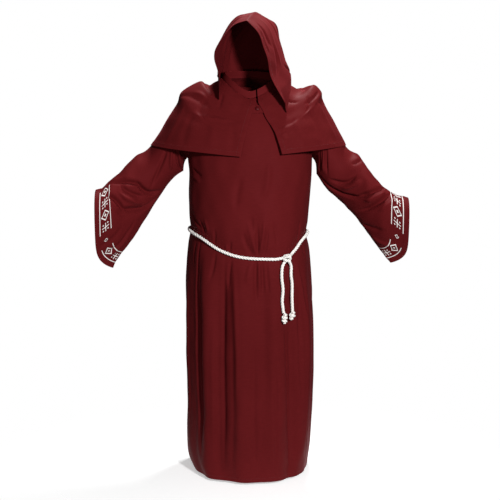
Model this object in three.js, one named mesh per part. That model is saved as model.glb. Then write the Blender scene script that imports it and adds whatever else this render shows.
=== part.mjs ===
// Monk's robe with a hooded shoulder cape and a rope belt, held open as if worn.
// Units are millimetres. The front faces -Y, +X is to the viewer's right and +Z is up. The origin lies
// between the shoulders, where the wearer carries the weight, 1.5 m above the floor.
import * as THREE from 'three';

// Driving sizes
const CLOTH = 2;                 // thickness of every cloth wall
const SEAM = 0.3;                // gap between two sewn pieces
const ROPE_RADIUS = 6;           // the belt rope
const ROPE_CLEARANCE = 0.9;      // rope to cloth
const ARMPIT_Z = -240;
const HEM_FRONT_Z = -1487;
const HEM_BACK_Z = -1432;
const HEM_STEP_FROM = 88;        // degrees from the centre front where the hem starts to rise
const HEM_STEP_LEFT = 104;       // and where it has reached the back's height
const HEM_STEP_RIGHT = 150;
const BAND_HEIGHT = 26;          // standing neckband
const BAND_LEAN = 7;             // how far its top edge leans in
const RIGHT_ANGLE = Math.PI / 2;

// Colours
const MAROON = 0x561619;
const DARK_MAROON = 0x48100f;
const ROPE_WHITE = 0xe9e4da;

const radians = (degrees) => degrees * Math.PI / 180;
const mix = (a, b, t) => a + (b - a) * t;
const clamp = (value, low, high) => Math.min(high, Math.max(low, value));
const smooth = (low, high, value) => THREE.MathUtils.smoothstep(value, low, high);
const power = (value, exponent) => Math.sign(value) * Math.abs(value) ** exponent;

// A smooth value between the rows of a table: `key` is the column that is looked up, in rising order.
function sample(rows, key, column, value) {
  const last = rows.length - 1;
  let k = 0;
  while (k < last - 1 && value > rows[k + 1][key]) k += 1;
  const before = rows[Math.max(k - 1, 0)];
  const low = rows[k];
  const high = rows[k + 1];
  const after = rows[Math.min(k + 2, last)];
  const span = high[key] - low[key];
  const t = clamp((value - low[key]) / span, 0, 1);
  const slopeLow = (high[column] - before[column]) / (high[key] - before[key]) * span;
  const slopeHigh = (after[column] - low[column]) / (after[key] - low[key]) * span;
  const rise = high[column] - low[column];
  return low[column] + t * (slopeLow + t * (3 * rise - 2 * slopeLow - slopeHigh
    + t * (slopeLow + slopeHigh - 2 * rise)));
}

// A sheet is a grid of points on the outside of one piece: rows of equal length, `turn` is 1 where
// columns crossed with rows point outwards and -1 where they point in.
function sheet(name, rows, turn, closed = false) {
  const normals = rows.map((row, j) => row.map((point, i) => {
    const count = row.length;
    const left = closed ? row[(i + count - 1) % count] : row[Math.max(i - 1, 0)];
    const right = closed ? row[(i + 1) % count] : row[Math.min(i + 1, count - 1)];
    const below = rows[Math.max(j - 1, 0)][i];
    const above = rows[Math.min(j + 1, rows.length - 1)][i];
    const across = new THREE.Vector3().subVectors(right, left);
    const along = new THREE.Vector3().subVectors(above, below);
    return across.cross(along).normalize().multiplyScalar(turn);
  }));
  return { name, rows, normals, turn, closed };
}

// Where pieces share a point they share its normal, so that their walls meet edge to edge.
function matchNormals(sheets) {
  const sums = new Map();
  const keyOf = (p) => [p.x, p.y, p.z].map((value) => Math.round(value * 100)).join(' ');
  const visit = (action) => sheets.forEach((s) => s.rows.forEach((row, j) => row.forEach((point, i) => {
    action(keyOf(point), s.normals[j][i]);
  })));
  visit((key, normal) => {
    if (!sums.has(key)) sums.set(key, new THREE.Vector3());
    sums.get(key).add(normal);
  });
  visit((key, normal) => normal.copy(sums.get(key)).normalize());
}

// The closed wall of one sheet, with the sewn edges drawn back by half a seam gap: straight back, or
// by what `sewn` gives as a function of the point. An edge's strip is split from its higher outer
// corner, so that two sewn edges match face to face.
function wall(source, sewn = {}) {
  const { rows, normals, turn, closed } = source;
  const columns = rows[0].length;
  const lastRow = rows.length - 1;
  const outer = rows.map((row) => row.map((point) => point.clone()));
  const drawBack = (j, i, towardJ, towardI, given) => {
    const back = new THREE.Vector3().subVectors(rows[towardJ][towardI], rows[j][i]).setLength(SEAM / 2);
    outer[j][i].add(typeof given === 'function' ? given(rows[j][i]) : back);
  };
  rows.forEach((row, j) => {
    if (sewn.first) drawBack(j, 0, j, 1, sewn.first);
    if (sewn.last) drawBack(j, columns - 1, j, columns - 2, sewn.last);
  });
  rows[0].forEach((point, i) => {
    if (sewn.bottom) drawBack(0, i, 1, i, sewn.bottom);
    if (sewn.top) drawBack(lastRow, i, lastRow - 1, i, sewn.top);
  });
  const positions = [];
  outer.forEach((row) => row.forEach((point) => positions.push(point.x, point.y, point.z)));
  outer.forEach((row, j) => row.forEach((point, i) => {
    const inner = point.clone().addScaledVector(normals[j][i], -CLOTH);
    positions.push(inner.x, inner.y, inner.z);
  }));
  const innerStart = rows.length * columns;
  const faces = [];
  const spans = closed ? columns : columns - 1;
  for (let j = 0; j < lastRow; j += 1) {
    for (let i = 0; i < spans; i += 1) {
      const a = j * columns + i;
      const b = j * columns + (i + 1) % columns;
      const c = b + columns;
      const d = a + columns;
      if (turn > 0) faces.push([a, b, c], [a, c, d]);
      else faces.push([a, c, b], [a, d, c]);
    }
  }
  const edges = new Set(faces.flatMap(([a, b, c]) => [`${a} ${b}`, `${b} ${c}`, `${c} ${a}`]));
  const index = faces.flat();
  faces.forEach(([a, b, c]) => index.push(innerStart + c, innerStart + b, innerStart + a));
  edges.forEach((edge) => {
    const [from, to] = edge.split(' ').map(Number);
    if (edges.has(`${to} ${from}`)) return;
    const [innerFrom, innerTo] = [innerStart + from, innerStart + to];
    const fromHigher = positions[3 * from + 2] > positions[3 * to + 2];
    if (fromHigher) index.push(to, from, innerTo, from, innerFrom, innerTo);
    else index.push(to, from, innerFrom, to, innerFrom, innerTo);
  });
  const geometry = new THREE.BufferGeometry();
  geometry.setAttribute('position', new THREE.Float32BufferAttribute(positions, 3));
  geometry.setIndex(index);
  geometry.computeVertexNormals();
  return geometry;
}

function mesh(name, geometry, color, roughness) {
  const material = new THREE.MeshStandardMaterial({ color, roughness, metalness: 0 });
  material.side = THREE.FrontSide;
  const piece = new THREE.Mesh(geometry, material);
  piece.name = name;
  return piece;
}

// Robe body: sections from hem to armpit, outside sizes from the centre line
const ROBE_SECTIONS = [
  { z: -1500, left: 222, right: 230, front: 216, back: 196 },
  { z: -1440, left: 248, right: 240, front: 219, back: 198 },
  { z: -1374, left: 256, right: 247, front: 221, back: 198 },
  { z: -1205, left: 252, right: 255, front: 223, back: 194 },
  { z: -1000, left: 256, right: 258, front: 223, back: 186 },
  { z: -840, left: 255, right: 252, front: 222, back: 178 },
  { z: -742, left: 255, right: 244, front: 221, back: 172 },
  { z: -640, left: 250, right: 235, front: 219, back: 162 },
  { z: -560, left: 243, right: 229, front: 217, back: 150 },
  { z: -500, left: 240, right: 228, front: 216, back: 146 },
  { z: -400, left: 240, right: 234, front: 212, back: 148 },
  { z: -300, left: 238, right: 241, front: 202, back: 152 },
  { z: ARMPIT_Z, left: 243, right: 243, front: 192, back: 150 },
];
const ROBE_SQUARENESS = 0.88;    // below 1 the section is fuller than an ellipse

// The rope's height at the front, by its place from side to side, and at the back
const BELT_FRONT = [
  { x: -245, z: -515 },
  { x: -187, z: -534 },
  { x: -115, z: -574 },
  { x: -43, z: -598 },
  { x: 40, z: -607 },
  { x: 140, z: -606 },
  { x: 171, z: -581 },
  { x: 199, z: -550 },
  { x: 235, z: -525 },
];
const BELT_BACK_Z = -492;
const BELT_PINCH = 7;            // how far the rope draws the cloth in
const BELT_PINCH_HEIGHT = 34;

// Long folds: angles from the centre front, + to the right, and depth, + outwards
const ROBE_FOLDS = [
  { top: -62, bottom: -56, from: -560, to: -1600, width: 9, depth: -8 },
  { top: -40, bottom: -38, from: -600, to: -1600, width: 9, depth: 7 },
  { top: -20, bottom: -22, from: -600, to: -1600, width: 9, depth: -9 },
  { top: -4, bottom: -5, from: -640, to: -1600, width: 9, depth: 8 },
  { top: 9, bottom: 12, from: -610, to: -1250, width: 5, depth: -7 },
  { top: 22, bottom: 25, from: -700, to: -1600, width: 9, depth: 6 },
  { top: 33, bottom: 39, from: -800, to: -1600, width: 6, depth: -11 },
  { top: 58, bottom: 52, from: -600, to: -1500, width: 9, depth: 7 },
  { top: 80, bottom: 76, from: -560, to: -1600, width: 9, depth: -6 },
  { top: 4, bottom: -3, from: -400, to: -604, width: 6, depth: -6 },
  { top: 13, bottom: 10, from: -420, to: -604, width: 5, depth: 6 },
  { top: -27, bottom: -24, from: -500, to: -600, width: 5, depth: -5 },
  { top: -110, bottom: -114, from: -520, to: -1600, width: 10, depth: 10 },
  { top: -134, bottom: -132, from: -520, to: -1600, width: 9, depth: -9 },
  { top: -155, bottom: -157, from: -500, to: -1600, width: 9, depth: 8 },
  { top: 178, bottom: 180, from: -500, to: -1600, width: 9, depth: -9 },
  { top: 156, bottom: 153, from: -500, to: -1600, width: 10, depth: 8 },
  { top: 133, bottom: 131, from: -520, to: -1600, width: 9, depth: -8 },
  { top: 110, bottom: 112, from: -520, to: -1600, width: 10, depth: 8 },
];
const FOLD_FADE = 160;

function foldDepth(angle, z) {
  const degrees = THREE.MathUtils.radToDeg(angle);
  return ROBE_FOLDS.reduce((sum, fold) => {
    const t = clamp((fold.from - z) / (fold.from - fold.to), 0, 1);
    const centre = mix(fold.top, fold.bottom, t);
    const away = ((degrees - centre + 540) % 360) - 180;
    const shown = smooth(0, FOLD_FADE, fold.from - z + FOLD_FADE / 4) * smooth(0, FOLD_FADE, z - fold.to);
    return sum + fold.depth * shown * Math.exp(-((away / fold.width) ** 2));
  }, 0);
}

// Belt height at an angle round the body
function beltZ(angle) {
  const side = Math.sin(angle);
  const reach = (side < 0 ? 240 : 229) * power(side, ROBE_SQUARENESS);
  const front = sample(BELT_FRONT, 'x', 'z', reach);
  if (Math.cos(angle) >= 0) return front;
  return mix(front, BELT_BACK_Z, Math.cos(angle) ** 2);
}

// A point on the outside of the robe below the armpit
function robeSurface(angle, z) {
  const side = Math.sin(angle);
  const fore = Math.cos(angle);
  const width = sample(ROBE_SECTIONS, 'z', side < 0 ? 'left' : 'right', z);
  const depth = sample(ROBE_SECTIONS, 'z', fore > 0 ? 'front' : 'back', z);
  const pinch = BELT_PINCH * Math.exp(-(((z - beltZ(angle)) / BELT_PINCH_HEIGHT) ** 2));
  const out = foldDepth(angle, z) - pinch;
  return new THREE.Vector3(
    width * power(side, ROBE_SQUARENESS) + out * side,
    -depth * power(fore, ROBE_SQUARENESS) - out * fore,
    z,
  );
}

function hemZ(angle) {
  const risen = radians(angle < 0 ? HEM_STEP_LEFT : HEM_STEP_RIGHT);
  return mix(HEM_FRONT_Z, HEM_BACK_Z, smooth(radians(HEM_STEP_FROM), risen, Math.abs(angle)));
}

// The top edge of the front or back: neckline, shoulder seam and armhole, on the wearer's either side
const NECK_POINT = new THREE.Vector3(92, 2, 34);
const NECK_FRONT = new THREE.Vector3(0, -84, -6);
const NECK_BACK = new THREE.Vector3(0, 74, 34);
const SHOULDER_TIP = new THREE.Vector3(208, 4, 2);
const ARMHOLE_FRONT = [
  new THREE.Vector3(243, 0, ARMPIT_Z),
  new THREE.Vector3(236, -58, -196),
  new THREE.Vector3(222, -76, -112),
  new THREE.Vector3(212, -52, -34),
  SHOULDER_TIP,
];
const ARMHOLE_BACK = [
  new THREE.Vector3(243, 0, ARMPIT_Z),
  new THREE.Vector3(236, 56, -196),
  new THREE.Vector3(222, 76, -112),
  new THREE.Vector3(212, 56, -34),
  SHOULDER_TIP,
];
const NECK_COLUMNS = 5;
const SHOULDER_COLUMNS = 3;
const ARMHOLE_COLUMNS = 10;
const NECK_POINT_ANGLE = 30;
const SHOULDER_TIP_ANGLE = 50;

// Columns of one half of the front or back, from the centre to the side seam
function halfColumns(neckCentre, armhole) {
  const columns = [];
  for (let k = 0; k <= NECK_COLUMNS; k += 1) {
    const t = k / NECK_COLUMNS * RIGHT_ANGLE;
    const top = new THREE.Vector3(
      NECK_POINT.x * Math.sin(t),
      mix(NECK_POINT.y, neckCentre.y, Math.cos(t)),
      mix(NECK_POINT.z, neckCentre.z, Math.cos(t)),
    );
    columns.push({ degrees: NECK_POINT_ANGLE * k / NECK_COLUMNS, top });
  }
  for (let k = 1; k < SHOULDER_COLUMNS; k += 1) {
    const t = k / SHOULDER_COLUMNS;
    const top = NECK_POINT.clone().lerp(SHOULDER_TIP, t);
    columns.push({ degrees: mix(NECK_POINT_ANGLE, SHOULDER_TIP_ANGLE, t), top });
  }
  const curve = new THREE.CatmullRomCurve3(armhole);
  for (let k = 0; k <= ARMHOLE_COLUMNS; k += 1) {
    const t = k / ARMHOLE_COLUMNS;
    columns.push({ degrees: mix(SHOULDER_TIP_ANGLE, 90, t), top: curve.getPointAt(1 - t) });
  }
  return columns;
}

// All columns of the front or back, left to right as seen from outside
function panelColumns(back) {
  const half = back ? halfColumns(NECK_BACK, ARMHOLE_BACK) : halfColumns(NECK_FRONT, ARMHOLE_FRONT);
  const mirrored = half.slice(1).reverse().map(({ degrees, top }) => (
    { degrees: -degrees, top: new THREE.Vector3(-top.x, top.y, top.z) }));
  const all = [...mirrored, ...half];
  if (!back) return all.map(({ degrees, top }) => ({ angle: radians(degrees), top }));
  return all.reverse().map(({ degrees, top }) => {
    const turned = degrees >= 0 ? 180 - degrees : -180 - degrees;
    return { angle: radians(turned), top };
  });
}

const ROWS_BELOW_BELT = 10;
const ROWS_ABOVE_BELT = 10;
const SKIRT_SPACING = 1.35;      // above 1 the rows crowd towards the rope
const BODICE_SPACING = 1.15;
const CHEST_FULLNESS = 0.95;     // depth, way to the shoulder and height of the chest's roll
const CHEST_LEAN = 0.12;
const CHEST_ROLL = 0.72;

// A point above the belt, t from 0 at the rope to 1 at the piece's top edge
function bodiceSurface(angle, top, t) {
  const belt = beltZ(angle);
  const chest = robeSurface(angle, ARMPIT_Z);
  const straight = ARMPIT_Z - belt;
  const roll = chest.distanceTo(top);
  const travelled = t * (straight + roll);
  if (travelled <= straight) return robeSurface(angle, belt + travelled);
  const s = (travelled - straight) / roll;
  const bend = new THREE.Vector3(
    mix(chest.x, top.x, 0.5),
    mix(chest.y * CHEST_FULLNESS, top.y, CHEST_LEAN),
    mix(chest.z, top.z, CHEST_ROLL),
  );
  return new THREE.QuadraticBezierCurve3(chest, bend, top).getPoint(s);
}

function robePanel(name, back) {
  const columns = panelColumns(back);
  const rows = [];
  for (let j = 0; j < ROWS_BELOW_BELT; j += 1) {
    const t = 1 - (1 - j / ROWS_BELOW_BELT) ** SKIRT_SPACING;
    rows.push(columns.map(({ angle }) => robeSurface(angle, mix(hemZ(angle), beltZ(angle), t))));
  }
  for (let j = 0; j <= ROWS_ABOVE_BELT; j += 1) {
    const t = (j / ROWS_ABOVE_BELT) ** BODICE_SPACING;
    rows.push(columns.map(({ angle, top }) => bodiceSurface(angle, top, t)));
  }
  return sheet(name, rows, 1);
}

// Sleeves: sections from the armhole to the cuff, seen from the front. topX to bottomZ are the ends of
// each section, y its middle, half its half depth, and hang how far the cloth narrows to its lower edge.
const SLEEVE_LEFT = [
  { at: 1, topX: 290, topZ: -62, bottomX: 262, bottomZ: -290, y: -2, half: 86, hang: 0 },
  { at: 2, topX: 340, topZ: -138, bottomX: 301, bottomZ: -318, y: -5, half: 84, hang: 0 },
  { at: 3, topX: 399, topZ: -205, bottomX: 345, bottomZ: -374, y: -9, half: 84, hang: 0.05 },
  { at: 4, topX: 442, topZ: -229, bottomX: 392, bottomZ: -446, y: -28, half: 84, hang: 0.12 },
  { at: 5, topX: 474, topZ: -259, bottomX: 425, bottomZ: -500, y: -50, half: 83, hang: 0.18 },
  { at: 6, topX: 505, topZ: -294, bottomX: 457, bottomZ: -552, y: -72, half: 82, hang: 0.22 },
  { at: 7, topX: 537, topZ: -320, bottomX: 487, bottomZ: -588, y: -95, half: 83, hang: 0.26 },
  { at: 8, topX: 564, topZ: -346, bottomX: 512, bottomZ: -622, y: -115, half: 84, hang: 0.3 },
  { at: 9, topX: 587, topZ: -353, bottomX: 528, bottomZ: -654, y: -130, half: 86, hang: 0.32 },
];
const SLEEVE_RIGHT = [
  { at: 1, topX: 286, topZ: -62, bottomX: 262, bottomZ: -302, y: -2, half: 86, hang: 0 },
  { at: 2, topX: 332, topZ: -137, bottomX: 300, bottomZ: -360, y: -5, half: 84, hang: 0 },
  { at: 3, topX: 385, topZ: -206, bottomX: 345, bottomZ: -399, y: -9, half: 84, hang: 0.05 },
  { at: 4, topX: 419, topZ: -224, bottomX: 384, bottomZ: -436, y: -28, half: 84, hang: 0.12 },
  { at: 5, topX: 450, topZ: -266, bottomX: 418, bottomZ: -472, y: -50, half: 83, hang: 0.18 },
  { at: 6, topX: 484, topZ: -312, bottomX: 449, bottomZ: -515, y: -72, half: 82, hang: 0.22 },
  { at: 7, topX: 520, topZ: -350, bottomX: 483, bottomZ: -562, y: -95, half: 83, hang: 0.26 },
  { at: 8, topX: 562, topZ: -374, bottomX: 514, bottomZ: -602, y: -115, half: 84, hang: 0.3 },
  { at: 9, topX: 602, topZ: -383, bottomX: 541, bottomZ: -634, y: -130, half: 86, hang: 0.32 },
];
const CUFF_FLARE = 62;           // how far the lower cuff edge swings out past its section
const CUFF_FLARE_FROM = 7;
const CUFF_FLARE_SPREAD = 1.2;   // how it fades to the top edge, and to the lowest point
const CUFF_FLARE_TIP = 10;
const HANG_TOP = 0.4;            // the share of the narrowing that the top edge gains
const CREASE_BEND = 0.6;         // how much of its slope a crease shows

// Creases over the sleeves: place along (at) and round (turn, degrees from the lower edge over the
// front), their widths, the slope of the crease and its depth
const SLEEVE_FOLDS = [
  { at: 2.6, turn: 110, along: 0.35, round: 60, slope: -0.2, depth: -7 },
  { at: 3.3, turn: 100, along: 0.3, round: 55, slope: 0.4, depth: 6 },
  { at: 4.6, turn: 95, along: 0.3, round: 45, slope: -0.9, depth: -7 },
  { at: 5.3, turn: 110, along: 0.3, round: 50, slope: -0.9, depth: 7 },
  { at: 6.1, turn: 80, along: 0.32, round: 45, slope: -0.8, depth: -8 },
  { at: 7.4, turn: 60, along: 0.5, round: 40, slope: -1.2, depth: 5 },
  { at: 3.0, turn: 255, along: 0.35, round: 60, slope: 0.3, depth: -6 },
  { at: 4.9, turn: 250, along: 0.35, round: 50, slope: 0.8, depth: 6 },
  { at: 5.8, turn: 265, along: 0.35, round: 50, slope: 0.8, depth: -7 },
];

function sleeveCrease(at, turn) {
  return SLEEVE_FOLDS.reduce((sum, fold) => {
    const round = (turn - fold.turn) / fold.round;
    const along = (at - fold.at - fold.slope * round * CREASE_BEND) / fold.along;
    return sum + fold.depth * Math.exp(-(along ** 2) - round ** 2);
  }, 0);
}

// A point of a sleeve section, `turn` in degrees: 0 below, 90 in front, 180 on top
function sleeveSection(table, side, at, turn) {
  const [topX, topZ, bottomX, bottomZ, y, half, hang] = ['topX', 'topZ', 'bottomX', 'bottomZ', 'y',
    'half', 'hang'].map((column) => sample(table, 'at', column, at));
  const low = (1 + Math.cos(radians(turn))) / 2;
  const crease = sleeveCrease(at, turn);
  const swing = low ** CUFF_FLARE_SPREAD * (1 - low ** CUFF_FLARE_TIP);
  const flare = CUFF_FLARE * smooth(CUFF_FLARE_FROM, LAST_SECTION, at) * swing;
  const depth = (half * (1 - hang * (2 * low - HANG_TOP)) + crease) * Math.sin(radians(turn));
  return new THREE.Vector3(side * (mix(topX, bottomX, low) + flare), y - depth, mix(topZ, bottomZ, low));
}

const SLEEVE_ROWS = 15;
const SLEEVE_SPACING = 1.05;
const LAST_SECTION = 9;
const ARMHOLE_EASE = 1.6;        // how late the first stretch turns down

// The armhole's points are the body's own. Past them the cloth first runs outwards, and then falls.
function sleeve(name, side) {
  const table = side < 0 ? SLEEVE_LEFT : SLEEVE_RIGHT;
  const flip = (point) => new THREE.Vector3(side * point.x, point.y, point.z);
  const front = halfColumns(NECK_FRONT, ARMHOLE_FRONT).slice(-ARMHOLE_COLUMNS - 1).map(({ top }) => flip(top));
  const back = halfColumns(NECK_BACK, ARMHOLE_BACK).slice(-ARMHOLE_COLUMNS - 1).map(({ top }) => flip(top));
  const armhole = [...front.reverse(), ...back.slice(1, -1)];
  const rows = [armhole];
  for (let j = 1; j <= SLEEVE_ROWS; j += 1) {
    const at = LAST_SECTION * (j / SLEEVE_ROWS) ** SLEEVE_SPACING;
    rows.push(armhole.map((start, i) => {
      const turn = 360 * i / armhole.length;
      if (at >= 1) return sleeveSection(table, side, at, turn);
      const first = sleeveSection(table, side, 1, turn);
      const outward = 1 - (1 - at) ** 2;
      const across = at ** ARMHOLE_EASE;
      return new THREE.Vector3(mix(start.x, first.x, outward), mix(start.y, first.y, across),
        mix(start.z, first.z, across));
    }));
  }
  return sheet(name, rows, -side, true);
}

// Shoulder cape: sections from neckline to hem. left and right are the silhouette, front and back the
// middle, edgeLeft and edgeRight the open fronts, and lift keeps the side heights near the side.
const CAPE_SECTIONS = [
  { at: 0, left: 108, leftZ: 68, right: 118, rightZ: 58, front: 100, frontZ: -8, back: 92, backZ: 72,
    edgeLeft: 23, edgeRight: 29, lift: 1.6 },
  { at: 1, left: 138, leftZ: 53, right: 160, rightZ: 41, front: 122, frontZ: -28, back: 112, backZ: 58,
    edgeLeft: 20, edgeRight: 32, lift: 2 },
  { at: 2, left: 166, leftZ: 39, right: 202, rightZ: 20, front: 139, frontZ: -53, back: 126, backZ: 38,
    edgeLeft: 9, edgeRight: 47, lift: 2.6 },
  { at: 3, left: 194, leftZ: 56, right: 246, rightZ: 44, front: 153, frontZ: -82, back: 138, backZ: 10,
    edgeLeft: 0, edgeRight: 60, lift: 3.6 },
  { at: 4, left: 264, leftZ: 18, right: 277, rightZ: 17, front: 168, frontZ: -112, back: 147, backZ: -25,
    edgeLeft: -9, edgeRight: 79, lift: 3.2 },
  { at: 5, left: 284, leftZ: -30, right: 282, rightZ: -14, front: 181, frontZ: -140, back: 154, backZ: -65,
    edgeLeft: -16, edgeRight: 92, lift: 2.4 },
  { at: 6, left: 316, leftZ: -78, right: 316, rightZ: -78, front: 191, frontZ: -166, back: 161, backZ: -105,
    edgeLeft: -23, edgeRight: 101, lift: 1.8 },
  { at: 7, left: 352, leftZ: -138, right: 350, rightZ: -140, front: 200, frontZ: -197, back: 168, backZ: -150,
    edgeLeft: -30, edgeRight: 111, lift: 1.3 },
  { at: 8, left: 388, leftZ: -189.4, right: 375, rightZ: -189.3, front: 206, frontZ: -227, back: 174, backZ: -196,
    edgeLeft: -34, edgeRight: 120, lift: 1 },
];
const CAPE_FRONT_COLUMNS = 10;
const CAPE_BACK_COLUMNS = 20;
const CAPE_ROWS = 11;

// A point of the cape, by its angle from the centre front, + to the right
function capeSurface(angle, at) {
  const value = (column) => sample(CAPE_SECTIONS, 'at', column, at);
  const side = Math.sin(angle);
  const fore = Math.cos(angle);
  const lifted = Math.abs(side) ** value('lift');
  return new THREE.Vector3(
    value(side < 0 ? 'left' : 'right') * side,
    -value(fore > 0 ? 'front' : 'back') * fore,
    mix(value(fore > 0 ? 'frontZ' : 'backZ'), value(side < 0 ? 'leftZ' : 'rightZ'), lifted),
  );
}

// The angle of a front edge, from its distance right of the centre
function edgeAngle(column, at) {
  const across = sample(CAPE_SECTIONS, 'at', column, at);
  const half = sample(CAPE_SECTIONS, 'at', across < 0 ? 'left' : 'right', at);
  return Math.asin(across / half);
}

// Angles of a whole section, from the left front edge round the back to the right one
function capeAngles(at) {
  const left = edgeAngle('edgeLeft', at);
  const right = edgeAngle('edgeRight', at);
  const angles = [];
  for (let i = 0; i < CAPE_FRONT_COLUMNS; i += 1) angles.push(mix(left, -RIGHT_ANGLE, i / CAPE_FRONT_COLUMNS));
  for (let i = 0; i < CAPE_BACK_COLUMNS; i += 1) {
    angles.push(mix(-RIGHT_ANGLE, -3 * RIGHT_ANGLE, i / CAPE_BACK_COLUMNS));
  }
  for (let i = 0; i <= CAPE_FRONT_COLUMNS; i += 1) {
    angles.push(mix(-3 * RIGHT_ANGLE, right - 4 * RIGHT_ANGLE, i / CAPE_FRONT_COLUMNS));
  }
  return angles;
}

function capePanel(name, firstColumn, lastColumn) {
  const rows = [];
  for (let j = 0; j <= CAPE_ROWS; j += 1) {
    const at = 8 * j / CAPE_ROWS;
    rows.push(capeAngles(at).slice(firstColumn, lastColumn + 1).map((angle) => capeSurface(angle, at)));
  }
  return sheet(name, rows, 1);
}

// The neckband stands on the cape's neckline and leans in
function neckband(name) {
  const angles = capeAngles(0);
  const seam = angles.map((angle) => capeSurface(angle, 0));
  const rows = [0, 0.5, 1].map((t) => seam.map((point) => {
    const inward = new THREE.Vector3(5 - point.x, -4 - point.y, 0).setLength(BAND_LEAN * t);
    return point.clone().add(inward).add(new THREE.Vector3(0, 0, BAND_HEIGHT * t));
  }));
  return sheet(name, rows, -1);
}

// Hood: levels from its lower edge to the crown seam. front is the face edge, side and rear lie round the
// head, and back is the seam behind. The left and right sides are not alike, because the hood is turned.
const HOOD_LEVELS = [
  { at: 0,
    leftFront: [-116, -122, -2], leftSide: [-121, -8, 62], leftRear: [-78, 86, 70], back: [26, 106, 62],
    rightFront: [131, -162, -25], rightSide: [160, -6, 50], rightRear: [112, 82, 60] },
  { at: 1,
    leftFront: [-114, -121, 67], leftSide: [-120, -4, 96], leftRear: [-78, 106, 106], back: [34, 134, 106],
    rightFront: [80, -152, 66], rightSide: [157, 4, 88], rightRear: [122, 100, 100] },
  { at: 2,
    leftFront: [-134, -122, 142], leftSide: [-121, 4, 152], leftRear: [-68, 122, 160], back: [42, 150, 162],
    rightFront: [66, -150, 134], rightSide: [135, 10, 140], rightRear: [114, 114, 156] },
  { at: 3,
    leftFront: [-119, -126, 192], leftSide: [-104, 6, 218], leftRear: [-54, 120, 218], back: [52, 150, 218],
    rightFront: [50, -150, 180], rightSide: [116, 14, 200], rightRear: [108, 110, 212] },
  { at: 4,
    leftFront: [-64, -139, 257], leftSide: [-50, -4, 296], leftRear: [-8, 98, 276], back: [70, 132, 266],
    rightFront: [31, -150, 231], rightSide: [80, 20, 273], rightRear: [98, 92, 266] },
  { at: 5,
    leftFront: [-12, -150, 277], leftSide: [18, -14, 319], leftRear: [54, 60, 306], back: [84, 108, 292],
    rightFront: [-12, -150, 277], rightSide: [18, -14, 319], rightRear: [54, 60, 306] },
];
const HOOD_COLUMNS = 14;
const HOOD_ROWS = 11;
const HOOD_STAND = 1.8;          // the hood's lower edge over the cape
const HOOD_FREE = 0.3;           // its front corners stand free of the cape

// The cape's height at a place in plan
function capeHeight(x, y) {
  let low = 0;
  let high = 8;
  for (let k = 0; k < 24; k += 1) {
    const at = (low + high) / 2;
    const across = sample(CAPE_SECTIONS, 'at', x < 0 ? 'left' : 'right', at);
    const deep = sample(CAPE_SECTIONS, 'at', y < 0 ? 'front' : 'back', at);
    if ((x / across) ** 2 + (y / deep) ** 2 > 1) low = at;
    else high = at;
  }
  const across = sample(CAPE_SECTIONS, 'at', x < 0 ? 'left' : 'right', low);
  const deep = sample(CAPE_SECTIONS, 'at', y < 0 ? 'front' : 'back', low);
  return capeSurface(Math.atan2(x / across, -y / deep), low).z;
}

// A point of one half of the hood: s from the face edge to the back seam, level from 0 to 5
function hoodSurface(side, s, level) {
  const stations = [`${side}Front`, `${side}Side`, `${side}Rear`, 'back'];
  const places = [0, 0.42, 0.76, 1];
  const component = (axis) => {
    const rows = stations.map((station, k) => {
      const levels = HOOD_LEVELS.map((row) => ({ at: row.at, value: row[station][axis] }));
      return { place: places[k], value: sample(levels, 'at', 'value', level) };
    });
    return sample(rows, 'place', 'value', s);
  };
  const point = new THREE.Vector3(component(0), component(1), component(2));
  if (level > 0) return point;
  point.z = mix(point.z, capeHeight(point.x, point.y) + HOOD_STAND, smooth(0, HOOD_FREE, s));
  return point;
}

function hoodHalf(name, side) {
  const rows = [];
  for (let j = 0; j <= HOOD_ROWS; j += 1) {
    const row = [];
    for (let i = 0; i <= HOOD_COLUMNS; i += 1) {
      row.push(hoodSurface(side, i / HOOD_COLUMNS, 5 * j / HOOD_ROWS));
    }
    rows.push(row);
  }
  return sheet(name, rows, side === 'left' ? -1 : 1);
}

// A round bar along points, closed at both ends
function bar(points, radius, sides, steps) {
  const outline = new THREE.Shape();
  for (let k = 0; k < sides; k += 1) {
    const turn = 2 * Math.PI * k / sides;
    if (k === 0) outline.moveTo(radius, 0);
    else outline.lineTo(radius * Math.cos(turn), radius * Math.sin(turn));
  }
  const path = new THREE.CatmullRomCurve3(points);
  return new THREE.ExtrudeGeometry(outline, { steps, extrudePath: path, bevelEnabled: false });
}

// A tied knot in the rope: a rounded form with the strands' ridges round it
const KNOT_SPREAD = 1.07;        // its ridges past its plain size

function knot(width, depth, height, centre) {
  const geometry = new THREE.SphereGeometry(1, 12, 8);
  const position = geometry.attributes.position;
  for (let k = 0; k < position.count; k += 1) {
    const point = new THREE.Vector3().fromBufferAttribute(position, k);
    const ridge = 1 + (KNOT_SPREAD - 1) * Math.cos(3 * Math.atan2(point.z, point.x)) * (1 - point.y ** 2);
    position.setXYZ(k, point.x * ridge * width / 2, point.z * ridge * depth / 2, point.y * height / 2);
  }
  geometry.scale(1, -1, 1);
  geometry.translate(centre.x, centre.y, centre.z);
  geometry.computeVertexNormals();
  return geometry;
}

// The angle of a place on the robe's front, from its distance right of the centre
function frontAngle(x, z) {
  let low = -RIGHT_ANGLE;
  let high = RIGHT_ANGLE;
  for (let k = 0; k < 30; k += 1) {
    const middle = (low + high) / 2;
    if (robeSurface(middle, z).x < x) low = middle;
    else high = middle;
  }
  return low;
}

// How far forward a piece must lie to clear the robe's front over its width and height
function clearOfRobe(x, z, halfWidth, halfHeight) {
  const steps = [-1, -0.5, 0, 0.5, 1];
  const depths = steps.flatMap((across) => steps.map((up) => {
    const height = z + up * halfHeight;
    return robeSurface(frontAngle(x + across * halfWidth, height), height).y;
  }));
  return Math.min(...depths);
}

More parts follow.
